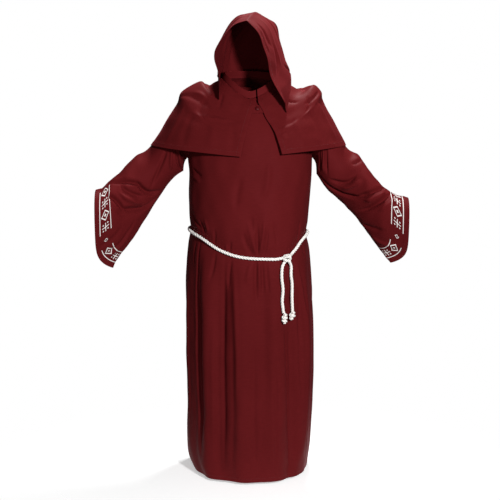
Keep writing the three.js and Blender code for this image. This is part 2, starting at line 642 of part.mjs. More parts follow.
// The rope round the body, from one side of the knot to the other
const KNOT = { x: 140, z: -606, width: 32, depth: 26, height: 34, gap: 3 };
const HANG_GAP = 1;              // between what hangs and the cloth behind it
const KNOT_Y = clearOfRobe(KNOT.x, KNOT.z, KNOT.width / 4, KNOT.height / 4) - KNOT.depth / 2 - HANG_GAP;
const ROPE_STEPS = 64;

function ropeBelt() {
  const reach = KNOT.width / 2 * KNOT_SPREAD + KNOT.gap;
  const start = frontAngle(KNOT.x + reach, KNOT.z);
  const end = frontAngle(KNOT.x - reach, KNOT.z) + 2 * Math.PI;
  const points = [];
  for (let k = 0; k <= ROPE_STEPS; k += 1) {
    const angle = mix(start, end, k / ROPE_STEPS);
    const wrapped = angle > Math.PI ? angle - 2 * Math.PI : angle;
    const z = beltZ(wrapped);
    const point = robeSurface(wrapped, z);
    const out = new THREE.Vector3(Math.sin(wrapped), -Math.cos(wrapped), 0);
    points.push(point.addScaledVector(out, ROPE_RADIUS + ROPE_CLEARANCE));
  }
  return bar(points, ROPE_RADIUS, 8, ROPE_STEPS);
}

// The two hanging ends, each from its exit under the belt's knot down to a knot at its foot
const TAILS = [
  { name: 'left', exit: [131, -621.6], xs: [122, 120, 125, 122, 127], zs: [-641, -678, -727, -768, -812],
    foot: [131, -835], width: 26, height: 42 },
  { name: 'right', exit: [150, -621.9], xs: [156, 156, 160, 160, 162], zs: [-641, -674, -708, -762, -808],
    foot: [161, -827], width: 28, height: 34 },
];
const FOOT_DEPTH = 22;

function tailPieces({ name, exit, xs, zs, foot, width, height }) {
  const points = xs.map((x, k) => {
    const y = clearOfRobe(x, zs[k], ROPE_RADIUS, 2 * ROPE_RADIUS) - ROPE_RADIUS - HANG_GAP;
    return new THREE.Vector3(x, y, zs[k]);
  });
  points.unshift(new THREE.Vector3(exit[0], KNOT_Y, exit[1]));
  const [footX, footZ] = foot;
  const footY = clearOfRobe(footX, footZ, width / 4, height / 4) - FOOT_DEPTH / 2 - HANG_GAP;
  points[points.length - 1].z = footZ + height / 2 + SEAM;
  const footKnot = knot(width, FOOT_DEPTH, height, { x: footX, y: footY, z: footZ });
  return [
    mesh(`rope_tail_${name}`, bar(points, ROPE_RADIUS, 8, 16), ROPE_WHITE, 0.9),
    mesh(`tail_knot_${name}`, footKnot, ROPE_WHITE, 0.9),
  ];
}

// Button, and the tab that it is sewn to, behind the top corners of the cape's fronts
const BUTTON = { x: 28, at: 1.75, radius: 7.5, thickness: 6, rim: 2, lift: 0.3 };
const TAB = { left: 2, right: 54, from: 1.25, to: 2.3, behind: CLOTH + 0.9 };
const TAB_COLUMNS = 6;
const TAB_ROWS = 3;

// A point at a distance right of the centre on the cape's front, and the way out of the cloth there
function capeFront(x, at) {
  const half = sample(CAPE_SECTIONS, 'at', x < 0 ? 'left' : 'right', at);
  const angle = Math.asin(x / half);
  const point = capeSurface(angle, at);
  const across = capeSurface(angle + 0.01, at).sub(point);
  const down = capeSurface(angle, at + 0.01).sub(point);
  return { point, outward: down.cross(across).normalize() };
}

function closureTab(name) {
  const rows = [];
  for (let j = 0; j <= TAB_ROWS; j += 1) {
    const at = mix(TAB.from, TAB.to, j / TAB_ROWS);
    const row = [];
    for (let i = 0; i <= TAB_COLUMNS; i += 1) {
      const { point, outward } = capeFront(mix(TAB.left, TAB.right, i / TAB_COLUMNS), at);
      row.push(point.addScaledVector(outward, -TAB.behind));
    }
    rows.push(row);
  }
  return sheet(name, rows, -1);
}

function buttonDome() {
  const profile = [new THREE.Vector2(0, 0), new THREE.Vector2(BUTTON.radius, 0),
    new THREE.Vector2(BUTTON.radius, BUTTON.rim)];
  for (let k = 1; k < 4; k += 1) {
    const turn = k / 4 * RIGHT_ANGLE;
    profile.push(new THREE.Vector2(BUTTON.radius * Math.cos(turn),
      BUTTON.rim + (BUTTON.thickness - BUTTON.rim) * Math.sin(turn)));
  }
  profile.push(new THREE.Vector2(0, BUTTON.thickness));
  const geometry = new THREE.LatheGeometry(profile, 16);
  const { point, outward } = capeFront(BUTTON.x, BUTTON.at);
  geometry.applyQuaternion(new THREE.Quaternion().setFromUnitVectors(new THREE.Vector3(0, 1, 0), outward));
  point.addScaledVector(outward, BUTTON.lift - TAB.behind);
  geometry.translate(point.x, point.y, point.z);
  return geometry;
}

const robeFront = robePanel('robe_front', false);
const robeBack = robePanel('robe_back', true);
const sleeveLeft = sleeve('sleeve_left', -1);
const sleeveRight = sleeve('sleeve_right', 1);
const backEnd = CAPE_FRONT_COLUMNS + CAPE_BACK_COLUMNS;
const capeLeft = capePanel('cape_front_left', 0, CAPE_FRONT_COLUMNS);
const capeBack = capePanel('cape_back', CAPE_FRONT_COLUMNS, backEnd);
const capeRight = capePanel('cape_front_right', backEnd, backEnd + CAPE_FRONT_COLUMNS);
const band = neckband('neckband');
const hoodLeft = hoodHalf('hood_left', 'left');
const hoodRight = hoodHalf('hood_right', 'right');
matchNormals([robeFront, robeBack, sleeveLeft, sleeveRight]);
matchNormals([capeLeft, capeBack, capeRight, band]);
matchNormals([hoodLeft, hoodRight]);

// At the armhole the body and sleeve part sideways, and at the shoulder seam front and back do
const bodyTopEdge = (forward) => (point) => {
  const atArmhole = Math.abs(point.x) > SHOULDER_TIP.x - 1;
  if (atArmhole) return new THREE.Vector3(-Math.sign(point.x) * SEAM / 2, 0, 0);
  return new THREE.Vector3(0, forward * SEAM / 2, 0);
};
const sleeveTopEdge = (point) => new THREE.Vector3(Math.sign(point.x) * SEAM / 2, 0, 0);

// The hood's two halves part square to its middle plane, which is turned to the viewer's left
const hoodSeam = (direction) => () => new THREE.Vector3(0.94, -0.34, 0).setLength(direction * SEAM / 2);

const cloth = (source, sewn) => mesh(source.name, wall(source, sewn), MAROON, 0.8);
const costume = new THREE.Group();
costume.add(
  cloth(robeFront, { first: true, last: true, top: bodyTopEdge(-1) }),
  cloth(robeBack, { first: true, last: true, top: bodyTopEdge(1) }),
  cloth(sleeveLeft, { bottom: sleeveTopEdge }),
  cloth(sleeveRight, { bottom: sleeveTopEdge }),
  cloth(capeLeft, { last: true, bottom: true }),
  cloth(capeBack, { first: true, last: true, bottom: true }),
  cloth(capeRight, { first: true, bottom: true }),
  cloth(band, { bottom: true }),
  cloth(hoodLeft, { last: hoodSeam(-1), top: hoodSeam(-1) }),
  cloth(hoodRight, { last: hoodSeam(1), top: hoodSeam(1) }),
  cloth(closureTab('closure_tab')),
  mesh('button', buttonDome(), DARK_MAROON, 0.4),
  mesh('rope_belt', ropeBelt(), ROPE_WHITE, 0.9),
);
const beltKnot = knot(KNOT.width, KNOT.depth, KNOT.height, { ...KNOT, y: KNOT_Y });
costume.add(mesh('belt_knot', beltKnot, ROPE_WHITE, 0.9));
TAILS.forEach((tail) => costume.add(...tailPieces(tail)));

export default costume;
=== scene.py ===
"""A monk's costume, held open as if worn: a long robe, a hooded shoulder cape and a rope belt."""

import math

import bpy
import numpy as np
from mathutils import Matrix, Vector


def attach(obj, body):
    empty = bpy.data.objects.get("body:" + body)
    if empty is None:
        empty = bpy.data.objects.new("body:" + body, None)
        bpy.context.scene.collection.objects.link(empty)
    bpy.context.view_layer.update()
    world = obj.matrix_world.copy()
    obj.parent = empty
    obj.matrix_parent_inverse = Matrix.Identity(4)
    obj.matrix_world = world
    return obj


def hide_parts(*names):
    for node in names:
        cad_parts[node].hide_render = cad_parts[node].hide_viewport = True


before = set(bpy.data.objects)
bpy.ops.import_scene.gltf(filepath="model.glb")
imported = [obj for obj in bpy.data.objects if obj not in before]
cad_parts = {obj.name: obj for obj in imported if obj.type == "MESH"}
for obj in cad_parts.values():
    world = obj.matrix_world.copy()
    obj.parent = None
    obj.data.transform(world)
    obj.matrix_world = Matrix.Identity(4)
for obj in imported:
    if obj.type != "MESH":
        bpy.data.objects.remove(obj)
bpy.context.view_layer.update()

# The picture
# One camera looks slightly down at the costume from the height of its shoulders, as the photograph's does.
# The floor lies just under the robe's hem.
CAMERA_DISTANCE = 4.0
CAMERA_TILT = 8.6
LENS = 73.3
FLOOR_Z = -1.5


def in_scene(name, data):
    """A new object in the scene, at the origin."""
    made = bpy.data.objects.new(name, data)
    bpy.context.scene.collection.objects.link(made)
    return made


camera = in_scene("camera", bpy.data.cameras.new("camera"))
camera.data.lens = LENS
camera.location = (0, -CAMERA_DISTANCE, 0)
camera.rotation_euler = (math.radians(90 - CAMERA_TILT), 0, 0)
bpy.context.scene.camera = camera


# The rope's hanging ends
# A soft white cotton rope, 12 mm thick, laid up from three strands with a right-hand twist. Two ends hang
# from the belt's knot down the front of the skirt, and each stops in a knot of its own.
BODY = "root"
MM = 0.001
STRAND_RADIUS = 3.35 * MM
STRAND_OFFSET = 2.75 * MM        # from the rope's middle to a strand's
ROPE_PITCH = 34 * MM             # one full turn of the strands
ROPE_STEP = 2.2 * MM
STRANDS = 3
STRAND_SIDES = 12
GROOVE_FROM = 0.5                # 1 is a strand's outermost line and -1 its innermost: no painted shade out from here
GROOVE_TO = -0.15                # and the full painted groove shade in from here
ROPE_COLOUR = (0.985, 0.965, 0.93)
# ROPE_SHADE is the colour of the painted shade in the grooves between the strands; random patches mix it in
# as well
ROPE_SHADE = (0.70, 0.64, 0.58)
TAIL_LEFT = [(131, -195.9, -621.6), (122, -204.4, -641), (120, -208.6, -678), (125, -210.4, -727),
             (122, -215.1, -768), (127, -214.2, -813.7)]
TAIL_RIGHT = [(150, -195.9, -621.9), (156, -186.6, -641), (156, -189.4, -674), (160, -188.8, -708),
              (160, -191.5, -762), (162, -190.3, -809.7)]


class Value:
    """A number or vector on its way through a finish's nodes: arithmetic on it adds Math nodes."""

    def __init__(self, finish, socket):
        self.finish = finish
        self.socket = socket

    def sum_of(self, operation, *terms):
        return self.finish.node("Math", {"operation": operation}, dict(enumerate(terms)))

    def __add__(self, other):
        return self.sum_of("ADD", self, other)

    __radd__ = __add__

    def __sub__(self, other):
        return self.sum_of("SUBTRACT", self, other)

    def __rsub__(self, other):
        return self.sum_of("SUBTRACT", other, self)

    def __mul__(self, other):
        return self.sum_of("MULTIPLY", self, other)

    __rmul__ = __mul__

    def __truediv__(self, other):
        return self.sum_of("DIVIDE", self, other)

    def __mod__(self, other):
        return self.sum_of("FLOORED_MODULO", self, other)

    def __floordiv__(self, other):
        quotient = self / other
        return quotient.sum_of("FLOOR", quotient)

    def __lt__(self, other):
        return self.sum_of("LESS_THAN", self, other)

    def __gt__(self, other):
        return self.sum_of("GREATER_THAN", self, other)

    def __or__(self, other):
        return self.sum_of("MAXIMUM", self, other)

    def __abs__(self):
        return self.sum_of("ABSOLUTE", self)


class Finish:
    """A material under way, with one Principled shader."""

    def __init__(self, name):
        self.material = bpy.data.materials.new(name)
        self.material.use_nodes = True
        self.tree = self.material.node_tree
        self.shader = next(n for n in self.tree.nodes if n.type == "BSDF_PRINCIPLED")

    def node(self, kind, settings=None, inputs=None, out=0):
        made = self.tree.nodes.new(f"ShaderNode{kind}")
        for key, value in (settings or {}).items():
            setattr(made, key, value)
        for key, value in (inputs or {}).items():
            self.feed(made.inputs[key], value)
        return Value(self, made.outputs[out])

    def feed(self, socket, value):
        if isinstance(value, Value):
            self.tree.links.new(value.socket, socket)
        elif isinstance(value, tuple) and socket.type == "RGBA":
            socket.default_value = (*value, 1)
        else:
            socket.default_value = value

    def mixed(self, factor, first, second):
        """A colour between two colours."""
        return self.node("Mix", {"data_type": "RGBA"}, {0: factor, 6: first, 7: second}, out=2)

    def noise(self, vector, scale, detail=2.0, roughness=0.5):
        return self.node("TexNoise", {}, {"Vector": vector, "Scale": scale, "Detail": detail,
                                          "Roughness": roughness})

    def stretched(self, vector, scale):
        return self.node("Mapping", {}, {"Vector": vector, "Scale": scale})

    def bump(self, height, distance, strength):
        return self.node("Bump", {}, {"Height": height, "Distance": distance, "Strength": strength})

    def set(self, **sockets):
        for name, value in sockets.items():
            self.feed(self.shader.inputs[name.replace("_", " ")], value)
        return self.material


def rope_finish():
    """Cotton yarn: fibres along each strand, painted shade in the grooves between them, and no shine."""
    finish = Finish("rope")
    fibre = finish.node("Attribute", {"attribute_name": "fibre"}, out=1)
    groove = finish.node("Attribute", {"attribute_name": "groove"}, out=2)
    place = finish.node("TexCoord", out=3)
    yarn = finish.noise(finish.stretched(fibre, (2.6, 2.6, 240.0)), scale=1.0, detail=3.0, roughness=0.6)
    hair = finish.noise(place, scale=2600.0)
    patch = finish.noise(place, scale=55.0, detail=3.0)
    # Painted shade: the grooves between the strands are darkened towards ROPE_SHADE, and random patches add
    # to it
    wear_and_groove_shade = groove * 0.75 + patch * 0.3 - 0.12
    colour = finish.mixed(wear_and_groove_shade, ROPE_COLOUR, ROPE_SHADE)
    relief = finish.bump(yarn * 0.75 + hair * 0.25, distance=0.7 * MM, strength=0.55)
    return finish.set(Base_Color=colour, Roughness=0.82 + patch * 0.12, Normal=relief,
                      Sheen_Weight=0.25, Specular_IOR_Level=0.25)


class MakingTree:
    """Geometry nodes that make a piece from a curve, with its sizes and its finish as inputs."""

    def __init__(self, name, **sizes):
        self.tree = bpy.data.node_groups.new(name, "GeometryNodeTree")
        self.tree.is_modifier = True
        sides = self.tree.interface
        sides.new_socket("Route", in_out="INPUT", socket_type="NodeSocketGeometry")
        for size, value in sizes.items():
            sides.new_socket(size, in_out="INPUT", socket_type="NodeSocketFloat").default_value = value
        sides.new_socket("Finish", in_out="INPUT", socket_type="NodeSocketMaterial")
        sides.new_socket("Piece", in_out="OUTPUT", socket_type="NodeSocketGeometry")
        self.given = self.tree.nodes.new("NodeGroupInput").outputs

    def node(self, kind, settings=None, inputs=None):
        """A new node's outputs. Its inputs are given by name or by number."""
        made = self.tree.nodes.new(kind)
        for key, value in (settings or {}).items():
            setattr(made, key, value)
        for key, value in (inputs or {}).items():
            if isinstance(value, bpy.types.NodeSocket):
                self.tree.links.new(value, made.inputs[key])
            else:
                made.inputs[key].default_value = value
        return made.outputs

    def maths(self, operation, *terms):
        return self.node("ShaderNodeMath", {"operation": operation}, dict(enumerate(terms)))[0]

    def captured(self, geometry, kind, value):
        """Geometry whose points carry a value on, and that value."""
        made = self.tree.nodes.new("GeometryNodeCaptureAttribute")
        made.domain = "POINT"
        made.capture_items.new("FLOAT", kind)
        self.tree.links.new(geometry, made.inputs[0])
        self.tree.links.new(value, made.inputs[1])
        return made.outputs[0], made.outputs[1]

    def stored(self, geometry, name, data_type, value):
        return self.node("GeometryNodeStoreNamedAttribute", {"data_type": data_type},
                         {"Geometry": geometry, "Name": name, "Value": value})[0]

    def done(self, geometry):
        real = self.node("GeometryNodeRealizeInstances", {}, {0: geometry})[0]
        coloured = self.node("GeometryNodeSetMaterial", {},
                             {"Geometry": real, "Material": self.given["Finish"]})[0]
        self.tree.links.new(coloured, self.tree.nodes.new("NodeGroupOutput").inputs[0])
        return self.tree


def rope_tree():
    """Three twisted strands laid along a curve."""
    made = MakingTree("laid_rope", **{"Strand radius": STRAND_RADIUS, "Strand offset": STRAND_OFFSET,
                                      "Pitch": ROPE_PITCH, "Step": ROPE_STEP})
    given, full_turn = made.given, 2 * math.pi
    route = made.node("GeometryNodeResampleCurve", {"mode": "LENGTH"},
                      {0: given["Route"], 3: given["Step"]})[0]
    spline = made.node("GeometryNodeSplineParameter")
    tilt = made.maths("MULTIPLY", made.maths("DIVIDE", spline["Length"], given["Pitch"]), full_turn)
    route = made.node("GeometryNodeSetCurveTilt", {}, {"Curve": route, "Tilt": tilt})[0]
    route, along = made.captured(route, "Length", spline["Length"])
    circle = made.node("GeometryNodeCurvePrimitiveCircle", {},
                       {"Resolution": STRAND_SIDES, "Radius": given["Strand radius"]})[0]
    circle, around = made.captured(circle, "Factor", spline["Factor"])
    strands = made.tree.nodes.new("GeometryNodeJoinGeometry")
    for k in range(STRANDS):
        angle = full_turn * k / STRANDS
        shift = made.node("ShaderNodeVectorMath", {"operation": "SCALE"},
                          {0: (math.cos(angle), math.sin(angle), 0), 3: given["Strand offset"]})[0]
        profile = made.node("GeometryNodeTransform", {},
                            {"Geometry": circle, "Translation": shift, "Rotation": (0, 0, angle)})[0]
        strand = made.node("GeometryNodeCurveToMesh", {},
                           {"Curve": route, "Profile Curve": profile, "Fill Caps": True})[0]
        made.tree.links.new(strand, strands.inputs[0])
    round_it = made.maths("MULTIPLY", around, full_turn)
    across = made.maths("COSINE", round_it)
    up = made.maths("SINE", round_it)
    fibre = made.node("ShaderNodeCombineXYZ", {}, {"X": across, "Y": up, "Z": along})[0]
    # The groove share marks the strands' inner sides, where the rope's finish paints shade
    groove = made.node("ShaderNodeMapRange", {},
                       {"Value": across, 1: GROOVE_FROM, 2: GROOVE_TO, 3: 0.0, 4: 1.0})[0]
    laid = made.stored(strands.outputs[0], "fibre", "FLOAT_VECTOR", fibre)
    return made.done(made.stored(laid, "groove", "FLOAT", groove))


def smooth_line(points, step):
    """Points about a step apart on a smooth curve through the given ones."""
    given = np.asarray(points, float)
    ends = np.vstack([2 * given[0] - given[1], given, 2 * given[-1] - given[-2]])
    line = []
    for before, start, end, after in zip(ends[:-3], ends[1:-2], ends[2:-1], ends[3:]):
        count = max(2, math.ceil(np.linalg.norm(end - start) / step))
        for t in np.arange(count) / count:
            line.append(start + 0.5 * t * (end - before + t * (2 * before - 5 * start + 4 * end - after
                                                               + t * (3 * start - before - 3 * end + after))))
    line.append(given[-1])
    return np.array(line)


def made_along(name, routes, tree, **inputs):
    """The plain mesh that a tree of geometry nodes makes along routes, each a list of points in metres."""
    curve = bpy.data.curves.new(name, "CURVE")
    curve.dimensions = "3D"
    for route in routes:
        spline = curve.splines.new("POLY")
        spline.points.add(len(route) - 1)
        spline.points.foreach_set("co", np.c_[route, np.ones(len(route))].ravel())
    source = bpy.data.objects.new(name, curve)
    modifier = source.modifiers.new("made", "NODES")
    modifier.node_group = tree
    for item in tree.interface.items_tree:
        if item.item_type == "SOCKET" and item.in_out == "INPUT" and item.name in inputs:
            modifier[item.identifier] = inputs[item.name]
    bpy.context.scene.collection.objects.link(source)
    bpy.context.view_layer.update()
    evaluated = source.evaluated_get(bpy.context.evaluated_depsgraph_get())
    made = bpy.data.meshes.new_from_object(evaluated)
    bpy.data.objects.remove(source)
    made.name = name
    made.shade_smooth()
    return in_scene(name, made)


def rope(name, *routes, drawn=1):
    """A laid rope along one or more routes, drawn thinner by a share in a knot."""
    sizes = {"Strand radius": STRAND_RADIUS * drawn, "Strand offset": STRAND_OFFSET * drawn}
    return made_along(name, routes, ROPE_TREE, Finish=ROPE_FINISH, **sizes)


def dress(piece, slot, *nodes):
    """Lets a piece ride on the costume in place of its plain solids."""
    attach(piece, BODY)
    if nodes:
        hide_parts(*nodes)
    return piece


ROPE_FINISH = rope_finish()
ROPE_TREE = rope_tree()
tail_routes = {}
for side, tail_points in (("left", TAIL_LEFT), ("right", TAIL_RIGHT)):
    tail_routes[side] = smooth_line(np.array(tail_points) * MM, ROPE_STEP)
    dress(rope(f"rope_end_{side}", tail_routes[side]), "rope", f"rope_tail_{side}")


# The knots at the rope's ends
# Each end of the same rope is wrapped round itself and drawn up tight into a barrel. A short tip of it
# stands out below.
TAIL_KNOTS = {
    "left": {"centre": (131, -217, -835), "radius": 6.6, "high": 19, "low": -11, "turns": 2.5, "tip": -20},
    "right": {"centre": (161, -195.5, -827), "radius": 7.2, "high": 15, "low": -9, "turns": 2.0, "tip": -16},
}
TAIL_KNOT_DRAWN = 0.86           # the rope's thickness in the knot, as a share of the plain rope's
TURN_POINTS = 28
TURN_WAIST = 0.12                # the barrel's ends are narrower than its middle by this share
TURN_LEAN = 1.6                  # the turns stand a little higher on one side
TURN_DROP = 4


def barrel_knot(name, centre, radius, high, low, turns, tip):
    """Turns of rope round the rope itself, and its tip below them."""
    steps = np.linspace(0, 1, int(turns * TURN_POINTS))
    angle = -math.pi / 2 + 2 * math.pi * turns * steps
    spread = radius * (1 - TURN_WAIST * np.cos(2 * math.pi * steps))
    rise = high + (low - high) * steps - TURN_DROP + TURN_LEAN * np.cos(angle)
    coil = np.c_[spread * np.cos(angle), spread * np.sin(angle), rise]
    core = smooth_line([(0, 0, high + 2), (0.6, 0, 4), (-0.4, 0.5, -8), (0.4, -0.5, tip)], 2)
    return rope(name, (centre + coil) * MM, (centre + core) * MM, drawn=TAIL_KNOT_DRAWN)


for side, sizes in TAIL_KNOTS.items():
    knot = dress(barrel_knot(f"end_knot_{side}", **sizes), "rope", f"tail_knot_{side}")


# The robe's body
# A front and a back of plain dark maroon crepe, sewn at the sides and shoulders. The hem is turned up and
# stitched. The rope draws the cloth in at the waist, and soft folds fall from it.
CLOTH_THICKNESS = 1.2            # sizes are in mm from here on, and a finish's are in metres
EDGE_ROUND = 0.42                # how far a cut edge's middle stands out, as a share of the thickness
CLOTH_COLOUR = (0.098, 0.0080, 0.0092)
CLOTH_LIT = (0.122, 0.0102, 0.0118)
CLOTH_DEEP = (0.074, 0.0056, 0.0066)
PRINT_COLOUR = (0.80, 0.775, 0.75)
HEM_WIDTH = 20
HEM_RELIEF = 0.7
SEAM_WIDTH = 3.2
SEAM_DEPTH = 1.1
ARMPIT_Z = -240
HEM_FRONT_Z = -1487
HEM_BACK_Z = -1432
HEM_STEP_FROM = 88
HEM_STEP_LEFT = 104
HEM_STEP_RIGHT = 150
SQUARENESS = 0.88
BELT_LEFT = 240                  # the robe's half widths at the rope
BELT_RIGHT = 229
BELT_BACK_Z = -492
BELT_PINCH = 7
BELT_PINCH_HEIGHT = 34
FOLD_FADE = 160
ARC = 4.19                       # mm round the body for one degree
NECK_POINT = np.array([92.0, 2, 34])
NECK_FRONT = np.array([0.0, -84, -6])
NECK_BACK = np.array([0.0, 74, 34])
SHOULDER_TIP = np.array([208.0, 4, 2])
ARMHOLE_FRONT = [(243, 0, ARMPIT_Z), (236, -58, -196), (222, -76, -112), (212, -52, -34), (208, 4, 2)]
ARMHOLE_BACK = [(243, 0, ARMPIT_Z), (236, 56, -196), (222, 76, -112), (212, 56, -34), (208, 4, 2)]
NECK_POINT_ANGLE = 30
SHOULDER_TIP_ANGLE = 50
CHEST_FULLNESS = 0.95
CHEST_LEAN = 0.12
CHEST_ROLL = 0.72


def table(columns, *rows):
    """Rows of numbers under named columns."""
    return {name: np.array(values, float) for name, values in zip(columns.split(), zip(*rows))}


ROBE_SECTIONS = table(
    "z left right front back",
    (-1500, 222, 230, 216, 196),
    (-1440, 248, 240, 219, 198),
    (-1374, 256, 247, 221, 198),
    (-1205, 252, 255, 223, 194),
    (-1000, 256, 258, 223, 186),
    (-840, 255, 252, 222, 178),
    (-742, 255, 244, 221, 172),
    (-640, 250, 235, 219, 162),
    (-560, 243, 229, 217, 150),
    (-500, 240, 228, 216, 146),
    (-400, 240, 234, 212, 148),
    (-300, 238, 241, 202, 152),
    (ARMPIT_Z, 243, 243, 192, 150),
)
BELT_FRONT = table(
    "x z",
    (-245, -515), (-187, -534), (-115, -574), (-43, -598), (40, -607),
    (140, -606), (171, -581), (199, -550), (235, -525),
)
ROBE_FOLDS = table(
    "top bottom start end width depth",
    (-62, -56, -560, -1600, 9, -8),
    (-40, -38, -600, -1600, 9, 7),
    (-20, -22, -600, -1600, 9, -9),
    (-4, -5, -640, -1600, 9, 8),
    (9, 12, -610, -1250, 5, -7),
    (22, 25, -700, -1600, 9, 6),
    (33, 39, -800, -1600, 6, -11),
    (58, 52, -600, -1500, 9, 7),
    (80, 76, -560, -1600, 9, -6),
    (4, -3, -400, -604, 6, -6),
    (13, 10, -420, -604, 5, 6),
    (-27, -24, -500, -600, 5, -5),
    (-110, -114, -520, -1600, 10, 10),
    (-134, -132, -520, -1600, 9, -9),
    (-155, -157, -500, -1600, 9, 8),
    (178, 180, -500, -1600, 9, -9),
    (156, 153, -500, -1600, 10, 8),
    (133, 131, -520, -1600, 9, -8),
    (110, 112, -520, -1600, 10, 8),
)
# Creases between and across those folds: the ends' places in degrees and height, the bow of the line
# between them, its width and its depth
CREASE_COLUMNS = "across z across_end z_end bow width depth"
ROBE_CREASES = table(
    CREASE_COLUMNS,
    (-0.5, -470, 5.4, -598, 4, 6, 4),
    (10.7, -466, 6.4, -598, -4, 6, 4),
    (5.2, -484, 5.9, -598, 1, 5, -6),
    (14, -498, 10.5, -598, -4, 5, -3.6),
    (-4.5, -505, 2.2, -598, 4, 5, -3.6),
    (1.1, -446, 1.1, -515, 2, 5, -2.6),
    (4.3, -612, 4.3, -775, 3, 6, -6),
    (8.8, -622, 9.8, -735, -3, 5, -4.5),
    (6.6, -612, 7, -730, 1, 4.5, 4),
    (13.5, -622, 14.5, -735, 2, 5, -3.5),
    (1.5, -618, -1.5, -700, 3, 6, 3),
    (-15, -540, -16, -598, 1, 5, -4.2),
    (-19, -552, -18.4, -596, 1, 4, 3),
    (-51, -548, -50, -1340, 10, 9, -7),
    (-20, -640, -20.5, -1400, 5, 11, -5),
    (-12, -640, -10, -1180, -6, 10, 4),
    (48, -648, 57.5, -905, 4, 8, 5),
    (-14, -612, -16, -720, 3, 6, -3.6),
    (-33, -572, -31, -500, 3, 6, -2.6),
    (-64, -274, -48, -302, 3, 6, -3.4),
    (-66, -296, -50, -322, 3, 6, 2.6),
    (-68, -448, -48, -500, 4, 7, -4),
    (-52, -470, -44, -516, -4, 7, -3.2),
    (-44, -462, -39, -512, -4, 6, 2.4),
    (-58, -560, -60, -640, 4, 6, -3.2),
    (-30, -590, -34, -690, -4, 7, -3),
    (30, -612, 27, -720, 4, 7, -3.6),
    (40, -596, 44, -700, -4, 8, -4),
    (34, -648, 37, -800, 2, 8, -3),
    (52, -560, 55, -470, 4, 8, -3),
    (62, -548, 66, -640, 4, 8, -3.2),
    (24, -560, 20, -470, 3, 8, -2.4),
    (-6, -300, -10, -420, 6, 14, -2.6),
    (14, -250, 10, -380, -6, 14, 2.4),
    (29, -860, 39.5, -1470, 4, 4.5, -5),
    (46, -760, 50, -1180, 8, 10, -3.4),
    (-30, -840, -30, -1420, 6, 12, 3),
    (-48, -700, -47, -1380, -7, 9, -4.5),
    (-12, -860, -13, -1440, -5, 11, -3),
    (3, -940, 4, -1430, 6, 10, -3.2),
    (18, -980, 20, -1460, -4, 9, -2.6),
    (64, -860, 62, -1400, 6, 10, -3.6),
    (-25, -690, -26, -1450, 6, 30, -6.5),
    (-9, -660, -8, -1430, -6, 32, 4),
    (37, -850, 45, -1460, 6, 28, -7),
    (15, -720, 18, -1450, 5, 36, 4),
    (-47, -640, -45, -1400, 8, 24, -5.5),
    (58, -700, 57, -1380, -5, 22, 3.5),
    (-72, -700, -70, -1300, 5, 10, 3.4),
    (260, -540, 259, -900, 5, 9, -4),
    (238, -520, 236, -760, -5, 9, 4),
    (215, -512, 217, -880, 5, 9, -4.5),
    (194, -500, 192, -720, -4, 8, -4),
    (168, -500, 166, -860, 5, 9, -4.5),
    (145, -508, 143, -780, -4, 9, -4),
    (122, -520, 120, -980, 5, 10, -4),
    (100, -540, 98, -820, -4, 9, 3.6),
    (192, -476, 200, -300, 6, 10, -3.4),
    (220, -480, 226, -330, 5, 10, -3.4),
    (170, -476, 160, -320, -6, 10, 3),
    (138, -480, 130, -340, -5, 10, -3.4),
    (252, -500, 256, -360, 5, 10, -3),
    (108, -506, 104, -380, -5, 10, -3),
)
PANEL_SEAM_EASE = 14             # creases die away over this width beside the side seams
BELT_HOLD = 0.8                  # the rope presses this share of a crease flat, for this far up and down
BELT_HOLD_HEIGHT = 9
CREASE_STRENGTH = 1.7
CREASE_LIP = 0.42                # how far the cloth beside a crease is drawn the other way
CREASE_FADE = 0.26
UNEVEN_WAVES = 7


def mix(low, high, share):
    return low + (high - low) * share


def smooth(low, high, value):
    share = np.clip((value - low) / (high - low), 0, 1)
    return share * share * (3 - 2 * share)


def power(value, exponent):
    return np.sign(value) * np.abs(value) ** exponent


def sample(rows, key, column, value):
    """Smooth values between the rows of a table, looked up by its key column."""
    keys, values = rows[key], rows[column]
    last = len(keys) - 1
    value = np.asarray(value, float)
    k = np.clip(np.searchsorted(keys, value) - 1, 0, last - 1)
    before, after = np.maximum(k - 1, 0), np.minimum(k + 2, last)
    wide = value.shape + (1,) * (values.ndim - 1)
    span = (keys[k + 1] - keys[k]).reshape(wide)
    t = np.clip((value - keys[k]).reshape(wide) / span, 0, 1)
    slope_low = (values[k + 1] - values[before]) * span / (keys[k + 1] - keys[before]).reshape(wide)
    slope_high = (values[after] - values[k]) * span / (keys[after] - keys[k]).reshape(wide)
    rise = values[k + 1] - values[k]
    return values[k] + t * (slope_low + t * (3 * rise - 2 * slope_low - slope_high
                                             + t * (slope_low + slope_high - 2 * rise)))


def by_side(rows, key, value, test, first, second):
    """Values from a table's first column where a test holds, and from its second elsewhere."""
    return np.where(test, sample(rows, key, first, value), sample(rows, key, second, value))


def creases(rows, across, along, scale):
    """Heights of listed creases. Each is a soft trough or ridge that dies away at both ends.
    The scale is the cloth's mm for one unit across and one along."""
    height = np.zeros(np.broadcast(across, along).shape)
    for x, y, x_end, y_end, bow, width, depth in zip(*rows.values()):
        run = np.array([(x_end - x) * scale[0], (y_end - y) * scale[1]])
        length = np.hypot(*run)
        run /= length
        ahead, beside = (across - x) * scale[0], (along - y) * scale[1]
        t = (ahead * run[0] + beside * run[1]) / length
        side = ahead * run[1] - beside * run[0] - bow * 4 * t * (1 - t)
        shown = smooth(-0.1, CREASE_FADE, t) * smooth(-0.1, CREASE_FADE, 1 - t)
        away = (side / (width * (0.65 + 0.35 * shown))) ** 2
        height += depth * shown * (1 - CREASE_LIP * away) * np.exp(-away)
    return height * CREASE_STRENGTH


